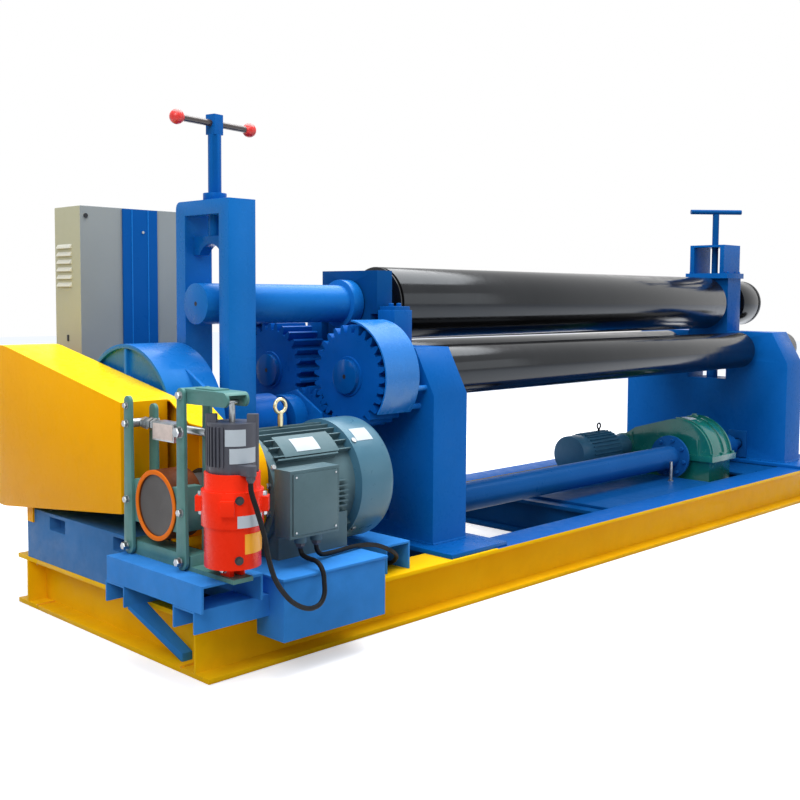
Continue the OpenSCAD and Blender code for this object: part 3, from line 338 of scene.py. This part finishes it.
def hex_bolt(bm, place, direction, across):
    """A hexagon head on its washer, seated at the place."""
    along = Vector(direction).normalized()
    washer, head = across * 0.1, across * 0.62
    corner = across / 2 / 0.866
    rod(bm, place, direction, across * 0.62, washer, 16)
    start = Vector(place) + along * washer
    rod(bm, start, direction, corner, head * 0.82, 6)
    rod(bm, start + along * head * 0.82, direction, corner, head * 0.18, 6, across * 0.47)


sheen = (0.12, 0.5, 1.0)
deep_blue = finish("deck_blue", srgb(4, 72, 132), 0.36, cloud=0.12, grime=0.16, gloss=0.1, tint=sheen)
stand_blue = finish("stand_blue", srgb(4, 89, 165), 0.3, cloud=0.09, grime=0.08, gloss=0.15, tint=(0.2, 0.6, 1.0))
coat_node(["cross_beams", "deck_plate"], deep_blue, 0.001)
coat_node(["drive_stand", "tip_stand"], stand_blue, 0.002)
coat_node(["guide_posts"], stand_blue, 0.0015)

post_y, bolt_inset = 0.197, 0.026
low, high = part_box("guide_posts")
bm = bmesh.new()
for y in (-post_y, post_y):
    for x in (low.x + bolt_inset, high.x - bolt_inset):
        hex_bolt(bm, (x, y, high.z), (0, 0, 1), 0.016)
build("post_bolts", bm, "frame", stand_blue)

# weld seams round the stands' feet
foot_top, foot_back, foot_edge = 0.186, 0.505, 0.06
seam_radius = 0.005
bm = bmesh.new()
for node, front in (("drive_stand", -0.44), ("tip_stand", -0.465)):
    low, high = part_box(node)
    x0, x1 = low.x + foot_edge, high.x - foot_edge
    for x in (x0, x1):
        rod(bm, (x, front, foot_top), (0, 1, 0), seam_radius, foot_back - front, 8)
    for y in (front, foot_back):
        rod(bm, (x0, y, foot_top), (1, 0, 0), seam_radius, x1 - x0, 8)
build("stand_welds", bm, "frame", stand_blue)

# ---- Bearing block and yoke ------------------------------------------------
# Machined blocks that slide in the stands' slots. The tip end's box is held to
# its cap plate by four bolts.
coat_node(["drive_block"], deep_blue, 0.0015)
coat_node(["tip_yoke", "tip_box"], stand_blue, 0.0015)
cap_top, cap_bolt_y, cap_bolt_inset = 1.19, 0.1135, 0.03
low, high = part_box("tip_box")
bm = bmesh.new()
for x in (low.x + cap_bolt_inset, high.x - cap_bolt_inset):
    for y in (-cap_bolt_y, cap_bolt_y):
        hex_bolt(bm, (x, y, cap_top), (0, 0, 1), 0.0125)
build("yoke_bolts", bm, "upper_carriage", stand_blue)

# ---- Rolls -----------------------------------------------------------------
# Forged steel rolls, turned and coated in gloss black. Faint rings from the
# lathe run round them, and dust and rubs lie along them. Outside the drive
# stand their shafts are painted blue.
upper_z, lower_z, lower_y = 1.026, 0.775, 0.216
roll_black, tree, shader, place = finish_nodes(
    "roll_black", srgb(12, 11, 12), 0.15, spread=0.05, cloud=0.35, cloud_size=3, grain=90, grain_depth=0.04,
    stretch=(1, 0.4, 0.4), gloss=0.42, tint=(0.84, 0.92, 1.0))
turning = wire(tree, "TexWave", {"Vector": place, "Scale": 46.0, "Distortion": 0.6, "Detail": 2.0},
               wave_type="BANDS", bands_direction="X")
rings = wire(tree, "Bump", {"Strength": 0.03, "Distance": 0.0006, "Height": turning.outputs[0],
                            "Normal": shader.inputs["Normal"].links[0].from_socket})
tree.links.new(rings.outputs[0], shader.inputs["Normal"])
outside = wire(tree, "Math", {0: object_axes(tree)[0], 1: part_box("drive_stand")[0].x}, operation="LESS_THAN")
recolour(tree, shader, outside.outputs[0], srgb(4, 80, 150))
coat_node(["upper_roll", "front_roll", "rear_roll"], roll_black, 0.0015, 40)
light_blue = finish("light_blue", srgb(16, 106, 184), 0.3, cloud=0.08, grime=0.05, gloss=0.3, tint=sheen)
coat_node(["roll_tail"], light_blue, 0.002, 40)

# painted shade for the centre holes left by the lathe in the ends of the shafts:
# thin near-black discs laid on the end faces
hole_rim = 0.0004
# near black: painted shade on the centre-hole discs, and the own colour of the oil plugs and locks
black_and_hole_shade = finish("black_and_hole_shade_finish", srgb(12, 14, 18), 0.6, cloud=0.2)
for piece_name, body, node, y, z, radius in (
        ("tail_centre_hole_shade", "upper_roll_unit", "roll_tail", 0, upper_z, 0.0075),
        ("front_roll_centre_hole_shade", "front_roll_unit", "front_roll", -lower_y, lower_z, 0.008),
        ("rear_roll_centre_hole_shade", "rear_roll_unit", "rear_roll", lower_y, lower_z, 0.008)):
    bm = bmesh.new()
    rod(bm, (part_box(node)[0].x - hole_rim, y, z), (1, 0, 0), radius, hole_rim, 20, radius * 0.8)
    build(piece_name, bm, body, black_and_hole_shade)

# ---- Gears -----------------------------------------------------------------
# Cut steel gears, painted with the machine and grimed with grease. Each roll's
# gear is keyed to its shaft and held by a retaining ring.


def slab(bm, low, high, edge=0.0):
    """A block between two corners, with its edges eased."""
    low, high = Vector(low), Vector(high)
    at = Matrix.Translation((low + high) / 2) @ Matrix.Diagonal((*(high - low), 1))
    made = bmesh.ops.create_cube(bm, size=1, matrix=at)
    if edge:
        edges = list({e for v in made["verts"] for e in v.link_edges})
        bmesh.ops.bevel(bm, geom=edges, offset=edge, segments=2, profile=0.5, affect="EDGES", material=-1)


gear_blue = finish("gear_blue", srgb(2, 86, 168), 0.34, cloud=0.15, cloud_size=5, grime=0.3, gloss=0.15, tint=sheen)
coat_node(["front_gear", "rear_gear", "drive_pinion"], gear_blue, 0.0, 25)
ring_inside, ring_outside, ring_foot = 0.0605, 0.0685, 0.0705
gear_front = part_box("front_gear")[0].x
for piece_name, body, y in (("front_gear_ring", "front_roll_unit", -lower_y),
                            ("rear_gear_ring", "rear_roll_unit", lower_y)):
    bm = bmesh.new()
    verts = [bm.verts.new((gear_front - out, y, lower_z + r)) for out, r in (
        (0.0005, ring_inside), (0.0055, ring_inside), (0.0055, ring_outside), (0.0005, ring_foot))]
    loop = [bm.edges.new((verts[i], verts[(i + 1) % 4])) for i in range(4)]
    bmesh.ops.spin(bm, geom=verts + loop, cent=(0, y, lower_z), axis=(1, 0, 0), angle=math.tau, steps=64,
                   use_merge=True)
    slab(bm, (gear_front - 0.004, y - 0.009, lower_z + 0.052), (gear_front - 0.0002, y + 0.009, lower_z + 0.07),
         0.0008)
    build(piece_name, bm, body, gear_blue)

# ---- Gear guard, pinion bearing and its cover ------------------------------
# A rolled sheet hood over each roll gear, standing off the drive stand on
# spacers, and the plate over the pinion's bearing, bolted to its pedestal.


def polar(degrees):
    """The cosine and sine of an angle."""
    return math.cos(math.radians(degrees)), math.sin(math.radians(degrees))


guard_blue = finish("guard_blue", srgb(28, 116, 198), 0.26, cloud=0.06, gloss=0.55, tint=(0.55, 0.85, 1.0))
coat_node(["gear_guard"], guard_blue, 0.0, 35)
coat_node(["pinion_cover", "pinion_pedestal"], stand_blue, 0.0012)
zinc = finish("zinc_plate", srgb(156, 160, 162), 0.36, cloud=0.2, cloud_size=40, grain=300, metal=1.0)
pinion_z, pinion_bolt_circle = 0.613, 0.068
cover_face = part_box("pinion_cover")[1].x
bm = bmesh.new()
for y, z in ((-0.135, 0.30), (-0.135, 0.60), (0.02, 0.69), (0.16, 0.66), (0.285, 0.62), (0.285, 0.30)):
    hex_bolt(bm, (cover_face, y, z), (1, 0, 0), 0.016)
for a in range(0, 360, 60):
    c, s = polar(a)
    hex_bolt(bm, (cover_face, pinion_bolt_circle * c, pinion_z + pinion_bolt_circle * s), (1, 0, 0), 0.012)
build("cover_bolts", bm, "frame", zinc)

# ---- Tail support ----------------------------------------------------------
# A welded box portal in half-gloss blue. The screw with its square head and
# ball-ended cross bar pushes the saddle down on the upper roll's tail.
coat_node(["tail_portal"], light_blue, 0.003)
coat_node(["screw_collar", "tail_saddle"], stand_blue, 0.0012)
coat_node(["tail_screw"], stand_blue, 0.001)
bar_turn, ball_reach, ball_radius = 10, 0.168, 0.0262
handle, tree, shader, place = finish_nodes("handle_finish", srgb(52, 40, 36), 0.35, cloud=0.2, cloud_size=20,
                                           coat=0.3)
low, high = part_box("tail_handle")
c, s = polar(bar_turn)
near = []
for end in (-1, 1):
    ball = (low + high) / 2 + Vector((c, s, 0)) * end * ball_reach
    away = wire(tree, "VectorMath", {0: place, 1: tuple(ball)}, operation="DISTANCE")
    near.append(wire(tree, "Math", {0: away.outputs["Value"], 1: ball_radius}, operation="LESS_THAN").outputs[0])
on_ball = wire(tree, "Math", {0: near[0], 1: near[1]}, operation="MAXIMUM")
recolour(tree, shader, on_ball.outputs[0], srgb(226, 34, 26))
coat_node(["tail_handle"], handle, 0.0, 35)

# ---- Main reducer and its plinth -------------------------------------------
# A welded gearbox split along its shafts, with a domed cover, bolted flanges
# and a breather, on a plate plinth with two hand holes.
plinth_blue = finish("plinth_blue", srgb(57, 114, 172), 0.5, cloud=0.14, cloud_size=4, grime=0.2, gloss=0.1,
                     tint=sheen)
coat_node(["reducer_plinth"], plinth_blue, 0.003)
coat_node(["reducer_base", "reducer_cover"], light_blue, 0.0015)
foot_flange, split_flange = 0.365, 0.6325
flange_inset, corner_inset, guard_seat = 0.009, 0.02, 0.1075
breather_inset, breather_y, breather_z = 0.1, 0.103, 0.888
low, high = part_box("reducer_cover")
bm = bmesh.new()
for y in (low.y + flange_inset, high.y - flange_inset):
    for x in (low.x + corner_inset, (low.x + high.x) / 2, high.x - corner_inset):
        hex_bolt(bm, (x, y, foot_flange), (0, 0, 1), 0.0145)
        if y > 0 or abs(x - low.x - guard_seat) > 0.01:
            hex_bolt(bm, (x, y, split_flange), (0, 0, 1), 0.0145)
rod(bm, (low.x + breather_inset, breather_y, breather_z), (0, 0, 1), 0.028, 0.006, 32)
rod(bm, (low.x + breather_inset, breather_y, breather_z + 0.004), (0, 0, 1), 0.014, 0.004, 6)
build("reducer_bolts", bm, "frame", light_blue)

# ---- Belt guard ------------------------------------------------------------
# Folded and welded sheet over the belts, sprayed chrome yellow, with a painted
# highlight that makes its upward faces paler. The belts' pulley on the motor is
# bare, greasy steel.
yellow, tree, shader, _ = finish_nodes("guard_yellow", srgb(255, 176, 1), 0.3, cloud=0.05, cloud_size=3,
                                       grime=0.06, gloss=0.06, tint=(1, 0.8, 0.05))
# painted light: faces that point upward are painted a paler lemon yellow
upward = wire(tree, "SeparateXYZ", {0: wire(tree, "NewGeometry").outputs["True Normal"]}).outputs[2]
painted_top_light = wire(tree, "MapRange", {"Value": upward, "From Min": 0.3, "From Max": 0.8})
recolour(tree, shader, painted_top_light.outputs[0], srgb(255, 212, 22))
coat_node(["belt_guard"], yellow, 0.003, 30)
bare_steel = finish("bare_steel", srgb(120, 122, 124), 0.34, cloud=0.25, cloud_size=12, metal=1.0, grime=0.4)
coat_node(["motor_pulley"], bare_steel, 0.0, 25)

# ---- Brake -----------------------------------------------------------------
# A spring-set drum brake: two pinned arms with lined shoes, pulled together by
# a sprung rod and opened by the thruster through the lever. Cast and forged
# parts in grey-green, with zinc-plated pins and nuts.
dusty_blue = finish("dusty_blue", srgb(52, 131, 208), 0.5, cloud=0.14, cloud_size=5, grime=0.12, gloss=0.1,
                    tint=sheen)
brake_green = finish("brake_green", srgb(84, 132, 126), 0.45, cloud=0.16, cloud_size=8, grime=0.25, gloss=0.2)
coat_node(["brake_bracket", "brake_beam"], dusty_blue, 0.002)
coat_node(["brake_base", "front_brake_arm", "rear_brake_arm", "brake_lever"], brake_green, 0.0015)
coat_node(["brake_tie_rod"], zinc, 0.0008)

# the drum: a grey face, a brown rusted rim, and a painted band round its edge
motor_y, motor_z = -0.376, 0.465
drum_face, drum_rim = -2.1438, 0.0863
drum_paint, tree, shader, _ = finish_nodes("drum_iron", srgb(94, 46, 14), 0.5, gloss=0.1, cloud=0.3,
                                           cloud_size=14, grime=0.3, grain_depth=0.4)
x, y, z = object_axes(tree)
across = wire(tree, "CombineXYZ", {"X": 0.0, "Y": y, "Z": z})
out = wire(tree, "VectorMath", {0: across.outputs[0], 1: (0, motor_y, motor_z)}, operation="DISTANCE")
rim = wire(tree, "MapRange", {"Value": out.outputs["Value"], "From Min": drum_rim, "From Max": drum_rim + 0.0006})
front = wire(tree, "MapRange", {"Value": x, "From Min": drum_face, "From Max": drum_face + 0.0013,
                                "To Min": 1.0, "To Max": 0.0})
edge = wire(tree, "Math", {0: rim.outputs[0], 1: front.outputs[0]}, operation="MULTIPLY")
rust = shader.inputs["Base Color"].links[0].from_socket
disc = blend_of(tree, rim.outputs[0], srgb(92, 90, 88), rust)
tree.links.new(blend_of(tree, edge.outputs[0], disc, srgb(236, 116, 18)), shader.inputs["Base Color"])
coat_node(["brake_drum"], drum_paint, 0.001, 30)

front_arm_y, rear_arm_y = -0.512, -0.24
arm_front, arm_back, arm_pin_z, arm_thin_z = -2.15, -2.056, 0.33, 0.7
tie_rod_x, tie_rod_z = -2.103, 0.685
front_heads = ((motor_z, 0.018), (tie_rod_z, 0.026), (0.785, 0.018))
rear_heads = ((motor_z, 0.018), (tie_rod_z, 0.018), (0.737, 0.015))
for piece_name, body, y, heads in (("front_arm_bolts", "front_brake_unit", front_arm_y, front_heads),
                                   ("rear_arm_bolts", "rear_brake_unit", rear_arm_y, rear_heads)):
    bm = bmesh.new()
    for z, across in heads:
        hex_bolt(bm, (arm_front, y, z), (-1, 0, 0), across)
        if z < arm_thin_z:
            hex_bolt(bm, (arm_back, y, z), (1, 0, 0), across)
    build(piece_name, bm, body, zinc)
bm = bmesh.new()
for y in (front_arm_y, rear_arm_y):
    hex_bolt(bm, (arm_front - 0.005, y, arm_pin_z), (-1, 0, 0), 0.021)
    hex_bolt(bm, (arm_back + 0.005, y, arm_pin_z), (1, 0, 0), 0.021)
build("pin_nuts", bm, "frame", zinc)

# the blank scale on the tie rod's spring box, and the rod's lock nuts
bm = bmesh.new()
slab(bm, (-2.1262, -0.436, 0.650), (-2.1248, -0.338, 0.694), 0.0004)
scale_pale = finish("scale_pale", srgb(214, 198, 188), 0.4, cloud=0.12, cloud_size=40)
build("scale_plate", bm, "rear_brake_unit", scale_pale)
bm = bmesh.new()
for y in (-0.325, -0.306, -0.272):
    rod(bm, (tie_rod_x, y, tie_rod_z), (0, 1, 0), 0.018, 0.013, 6)
build("rod_nuts", bm, "rear_brake_unit", zinc)

# ---- Thruster --------------------------------------------------------------
# An electro-hydraulic thruster: a red enamelled cylinder with a black motor
# head, held on a foot pin. Its plates are blank.
thruster_x, thruster_y = -2.1, -0.676
body_radius, foot_radius, head_radius = 0.082, 0.0745, 0.0652
plate_thick = 0.0012
red = finish("thruster_red", srgb(255, 48, 18), 0.3, cloud=0.04, cloud_size=6, grime=0.08, gloss=0.3,
             tint=(1, 0.2, 0.1))
coat_node(["thruster_body"], red, 0.002, 35)
moulded = finish("head_black", srgb(68, 70, 79), 0.42, cloud=0.15, cloud_size=9, grain=500, grain_depth=0.3,
                 gloss=0.3)
coat_node(["thruster_head"], moulded, 0.002, 35)
coat_node(["thruster_rod"], zinc, 0.0008)


def bent_plate(name, material, radius, a0, a1, z0, z1):
    """A thin plate bent round the thruster, from angle a0 to a1."""
    bm = bmesh.new()
    c, s = polar(a0)
    verts = [bm.verts.new((thruster_x + r * c, thruster_y + r * s, z))
             for r, z in ((radius, z0), (radius + plate_thick, z0), (radius + plate_thick, z1), (radius, z1))]
    face = bm.faces.new(verts)
    bmesh.ops.spin(bm, geom=[face] + verts + face.edges[:], cent=(thruster_x, thruster_y, 0), axis=(0, 0, 1),
                   angle=math.radians(a1 - a0), steps=14)
    build(name, bm, "frame", material)


bare_plate = finish("blank_plate", srgb(184, 195, 202), 0.35, cloud=0.05, cloud_size=18)
label_yellow = finish("label_yellow", srgb(250, 172, 22), 0.4, cloud=0.06)
bent_plate("head_plate_upper", bare_plate, head_radius, 217, 265, 0.667, 0.71)
bent_plate("head_plate_lower", bare_plate, head_radius, 227, 297, 0.6215, 0.661)
bent_plate("body_plate_pale", bare_plate, 0.0822, 242, 299, 0.457, 0.4885)
bent_plate("body_plate_yellow", label_yellow, 0.0752, 258, 322, 0.386, 0.438)

clamp_top, clamp_under, foot_pin_z, foot_pin_reach = 0.53, 0.49, 0.337, 0.026
bm = bmesh.new()
for a in (45, 135, 315):
    c, s = polar(a)
    for z, side in ((clamp_top, 1), (clamp_under, -1)):
        hex_bolt(bm, (thruster_x + body_radius * c, thruster_y + body_radius * s, z), (0, 0, side), 0.016)
for side in (-1, 1):
    hex_bolt(bm, (thruster_x + side * foot_pin_reach, thruster_y, foot_pin_z), (side, 0, 0), 0.018)
build("thruster_bolts", bm, "frame", zinc)
bm = bmesh.new()
for a, r, z in ((246, 0.0815, 0.529), (246, foot_radius, 0.371), (30, foot_radius, 0.41)):
    c, s = polar(a)
    for radius, length, sides in ((0.0115, 0.003, 24), (0.0085, 0.006, 6)):
        rod(bm, (thruster_x + r * c, thruster_y + r * s, z), (c, s, 0), radius, length, sides)
build("oil_plugs", bm, "frame", black_and_hole_shade)


def fin(bm, axis_place, axis, degrees, reach, size):
    """A rib that stands out from an axis through a place, at an angle about it."""
    turn = Matrix.Translation(axis_place) @ Matrix.Rotation(math.radians(degrees), 4, axis)
    bmesh.ops.create_cube(bm, size=1, matrix=turn @ Matrix.Translation(reach) @ Matrix.Diagonal((*size, 1)))


rib_reach, rib_size = (0.0665, 0, 0.664), (0.007, 0.0045, 0.104)
bm = bmesh.new()
for a in (*range(0, 120, 10), *range(152, 214, 10), *range(332, 360, 10)):
    fin(bm, (thruster_x, thruster_y, 0), "Z", a, rib_reach, rib_size)
build("head_ribs", bm, "frame", moulded)
gland_x, gland_y, gland_top = -2.112, -0.77, 0.593
bm = bmesh.new()
rod(bm, (gland_x, gland_y, gland_top), (0, 0, -1), 0.0135, 0.010, 6)
rod(bm, (gland_x, gland_y, gland_top - 0.01), (0, 0, -1), 0.0115, 0.008, 20, 0.0078)
build("thruster_gland", bm, "frame", moulded)

# ---- Main motor ------------------------------------------------------------
# A finned cast-iron motor on feet, with a steel fan cowl, a terminal box and a
# lifting eye. Its two plates are blank.
motor_grey = finish("motor_grey", srgb(84, 109, 115), 0.4, cloud=0.12, cloud_size=6, grime=0.2, gloss=0.25,
                    tint=(0.7, 0.95, 1.0))
cowl_grey = finish("cowl_grey", srgb(66, 109, 129), 0.34, cloud=0.07, cloud_size=5, grime=0.06, gloss=0.45,
                   tint=(0.7, 0.95, 1.0))
coat_node(["motor_plinth", "motor_rail"], dusty_blue, 0.002)
coat_node(["motor_barrel"], motor_grey, 0.0, 30)
coat_node(["motor_cowl"], cowl_grey, 0.002, 35)
coat_node(["motor_terminal_box"], motor_grey, 0.003, 35)
# the motor's eye is yellow-passivated steel; the lift motor's, past X = 0, is black
eye_steel, tree, shader, _ = finish_nodes("eye_steel", srgb(206, 196, 160), 0.28, cloud=0.2, cloud_size=30,
                                          metal=1.0)
lift_eye = wire(tree, "Math", {0: object_axes(tree)[0], 1: 0.0}, operation="GREATER_THAN")
recolour(tree, shader, lift_eye.outputs[0], (0.012, 0.013, 0.014))
coat_node(["lifting_eyes"], eye_steel, 0.0, 40)


def on_motor(x, degrees, radius):
    """A place on the motor, at an angle about its axis from +Y, 90 being the top."""
    c, s = polar(degrees)
    return x, motor_y + radius * c, motor_z + radius * s


end_face, end_circle, end_edge, end_radius = -1.8602, 0.158, -1.846, 0.1775
cowl_edge, cowl_radius = -1.515, 0.1955
foot_reach, motor_foot_top, box_face = 0.16, 0.395, -0.6645
bm = bmesh.new()
for a in range(15, 375, 30):
    hex_bolt(bm, on_motor(end_face, a, end_circle), (-1, 0, 0), 0.016)
for a in (45, 135, 225, 315):
    rod(bm, on_motor(cowl_edge, a, cowl_radius), (0, *polar(a)), 0.009, 0.005, 16)
for x in (-1.80, -1.61):
    for y in (motor_y - foot_reach, motor_y + foot_reach):
        hex_bolt(bm, (x, y, motor_foot_top), (0, 0, 1), 0.016)
low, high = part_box("motor_terminal_box")
for x in (low.x + 0.018, high.x - 0.018):
    for z in (0.39, 0.547):
        rod(bm, (x, box_face, z), (0, -1, 0), 0.0032, 0.002, 16)
for a in (149, 163, 60, 30):
    rod(bm, on_motor(end_edge, a, end_radius), (0, *polar(a)), 0.0095, 0.006, 20, 0.007)
build("motor_bolts", bm, "frame", zinc)
bm = bmesh.new()
slab(bm, (-1.882, box_face, 0.380), (-1.714, -0.6602, 0.557), 0.0035)
build("terminal_cover", bm, "frame", motor_grey)
fin_start, fin_end, fin_reach = high.x + 0.001, -1.575, 0.17
fin_size = (fin_end - fin_start, 0.026, 0.004)
bm = bmesh.new()
for a in (171, 176, 181, 186, 191, 196):
    fin(bm, ((fin_start + fin_end) / 2, motor_y, motor_z), "X", a, (0, fin_reach, 0), fin_size)
build("side_fins", bm, "frame", motor_grey)
box_gland_y, box_gland_top, box_gland_radius = -0.625, 0.350, 0.014
bm = bmesh.new()
for x in (-1.825, -1.765):
    rod(bm, (x, box_gland_y, box_gland_top), (0, 0, -1), box_gland_radius, 0.010, 6)
    rod(bm, (x, box_gland_y, box_gland_top - 0.01), (0, 0, -1), box_gland_radius * 0.8, 0.006, 20, 0.0078)
build("terminal_glands", bm, "frame", moulded)


def hoop(name, material, x0, x1, a0, a1, radius, thick, centre, steps=18):
    """A flat bar or plate bent round an axis along X, from angle a0 to a1, 90 being the top."""
    bm = bmesh.new()
    c, s = polar(a0)
    verts = [bm.verts.new((x, centre[0] + r * c, centre[1] + r * s))
             for x, r in ((x0, radius), (x1, radius), (x1, radius + thick), (x0, radius + thick))]
    face = bm.faces.new(verts)
    bmesh.ops.spin(bm, geom=[face] + verts + face.edges[:], cent=(0, *centre), axis=(1, 0, 0),
                   angle=math.radians(a1 - a0), steps=steps)
    build(name, bm, "frame", material)


motor_axis = (motor_y, motor_z)
hoop("name_pad", motor_grey, -1.795, -1.581, 115.5, 141.5, 0.152, 0.0345, motor_axis, 16)
hoop("pad_rib", motor_grey, -1.826, -1.591, 143, 144.6, 0.152, 0.036, motor_axis, 2)
hoop("motor_plate", bare_plate, -1.743, -1.65, 121.5, 137.5, 0.1864, 0.0012, motor_axis, 10)
hoop("cowl_plate", bare_plate, -1.501, -1.433, 120.5, 136, 0.1962, 0.001, motor_axis, 10)

# ---- Lift drive ------------------------------------------------------------
# A small flange motor and a cast worm reducer in gloss green turn the cross
# shaft, a blue tube whose flange is bolted to the reducer's.
green = finish("reducer_green", srgb(12, 106, 98), 0.22, cloud=0.12, cloud_size=6, coat=0.4, grime=0.12)
lift_grey = finish("lift_motor_grey", srgb(52, 104, 134), 0.38, cloud=0.1, cloud_size=8, grime=0.15, gloss=0.25)
tube_blue = finish("tube_blue", srgb(14, 82, 148), 0.34, cloud=0.08, grime=0.08, gloss=0.2, tint=sheen)
coat_node(["lift_reducer"], green, 0.003, 35)
coat_node(["lift_motor"], lift_grey, 0.0015, 35)
coat_node(["cross_shaft", "shaft_plates"], tube_blue, 0.0015, 35)
lift_motor_middle = (0.722, 0.11, 0.283)
bm = bmesh.new()
for a in (*range(0, 241, 12), *range(300, 360, 12)):
    fin(bm, lift_motor_middle, "X", a, (0, 0.091, 0), (0.23, 0.010, 0.003))
build("lift_motor_fins", bm, "frame", lift_grey)
shaft_y, shaft_z, flange_face, flange_circle = -0.2, 0.263, 0.929, 0.085
bm = bmesh.new()
for a in range(12, 372, 45):
    c, s = polar(a)
    hex_bolt(bm, (flange_face, shaft_y + flange_circle * c, shaft_z + flange_circle * s), (-1, 0, 0), 0.018)
build("flange_bolts", bm, "lift_shaft_unit", tube_blue)

# the reducer's bolts, the plug on its top, three cast ribs and a blank plate
low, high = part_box("lift_reducer")
middle = (low.x + high.x) / 2
left, right = low.x + 0.018, high.x - 0.018
case_flange_top = 0.277
plug_x, plug_y, plug_z = 1.16, -0.205, 0.446
bm = bmesh.new()
for y, spots in ((-0.395, (left, middle, right)), (-0.05, (left, right)), (0.185, (left, right))):
    for x in spots:
        hex_bolt(bm, (x, y, case_flange_top), (0, 0, 1), 0.016)
rod(bm, (plug_x, plug_y, plug_z), (0, 0, 1), 0.02, 0.010, 24)
rod(bm, (plug_x, plug_y, plug_z + 0.01), (0, 0, 1), 0.013, 0.008, 6)
build("lift_reducer_bolts", bm, "frame", green)
case_axis, rib_half = (-0.205, shaft_z), 0.004
for i, x in enumerate((low.x + 0.03, middle + 0.02, high.x - 0.032)):
    hoop(f"case_rib_{i}", green, x - rib_half, x + rib_half, 84, 172, 0.184, 0.008, case_axis, 24)
hoop("case_plate", bare_plate, low.x + 0.045, low.x + 0.115, 82, 104, 0.1846, 0.003, case_axis)

# a stop post stands on the deck before the flange
post_foot = (0.81, -0.28, 0.166)
bm = bmesh.new()
rod(bm, post_foot, (0, 0, 1), 0.008, 0.094, 20)
rod(bm, post_foot, (0, 0, 1), 0.014, 0.006, 6)
build("deck_post", bm, "frame", zinc)

# ---- Control cabinet -------------------------------------------------------
# A folded steel cabinet in grey, with a blue centre strip, round door locks and
# six louvres pressed into each side. Its sides are painted a lighter, creamier
# grey and its louvres paler still, as painted light and painted highlights.
shell_grey, tree, shader, _ = finish_nodes("cabinet_grey", srgb(139, 145, 144), 0.42, cloud=0.05,
                                           cloud_size=2, grain=420, grain_depth=0.2, gloss=0.3)
# painted light: faces that point along X, the cabinet's sides, are painted a lighter, creamier grey
sideways = wire(tree, "SeparateXYZ", {0: wire(tree, "NewGeometry").outputs["True Normal"]}).outputs[0]
side = wire(tree, "Math", {0: sideways}, operation="ABSOLUTE")
recolour(tree, shader, side.outputs[0], srgb(179, 177, 146))
coat_node(["cabinet"], shell_grey, 0.003)
band_blue = finish("band_blue", srgb(3, 78, 150), 0.35, cloud=0.06, gloss=0.15, tint=sheen)
coat_node(["cabinet_band"], band_blue, 0.001)
coat_node(["cabinet_bracket"], light_blue, 0.001)
louvre_size = (0.008, 0.1, 0.0165)
louvre_inset, louvre_first, louvre_step = 0.112, 1.0905, 0.0275
low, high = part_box("cabinet")
bm = bmesh.new()
for x, out in ((low.x, -1), (high.x, 1)):
    for i in range(6):
        z = louvre_first + i * louvre_step
        at = Matrix.Translation((x + out * 0.003, low.y + louvre_inset, z)) @ Matrix.Diagonal((*louvre_size, 1))
        for v in bmesh.ops.create_cube(bm, size=1, matrix=at)["verts"]:
            if (v.co.x - x) * out > 0.004 and v.co.z > z:
                v.co.z -= 0.012
# painted highlight: the pressed louvres are painted paler than the sheet they are pressed from
louvre_highlight = finish("louvre_highlight", srgb(226, 224, 206), 0.4, cloud=0.04)
build("cabinet_louvres", bm, "frame", louvre_highlight)
bm = bmesh.new()
for x in (low.x + 0.022, high.x - 0.03):
    for z in (low.z + 0.08, high.z - 0.035):
        rod(bm, (x, low.y - 0.0002, z), (0, -1, 0), 0.008, 0.004, 20)
slab(bm, (low.x - 0.003, 0.628, 0.885), (low.x + 0.0002, 0.64, 0.908), 0.001)
build("cabinet_locks", bm, "frame", black_and_hole_shade)

# two folds run down the blue strip, painted in a lighter blue as painted
# highlights, and one small screw holds it
fold_half = 0.0025
low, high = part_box("cabinet_band")
bm = bmesh.new()
for x in (low.x + 0.037, low.x + 0.105):
    slab(bm, (x - fold_half, low.y - 0.002, low.z + 0.002), (x + fold_half, low.y + 0.0002, high.z - 0.002), 0.0008)
build("band_folds", bm, "frame", light_blue)
bm = bmesh.new()
rod(bm, (low.x + 0.083, low.y + 0.0002, 1.285), (0, -1, 0), 0.005, 0.003, 16)
build("band_screw", bm, "frame", zinc)

# ---- Tip handle ------------------------------------------------------------
# The T-handle over the tip end's box: a round bar welded across the top of its
# stem and painted with the deck.
coat_node(["tip_handle"], deep_blue, 0.0, 35)
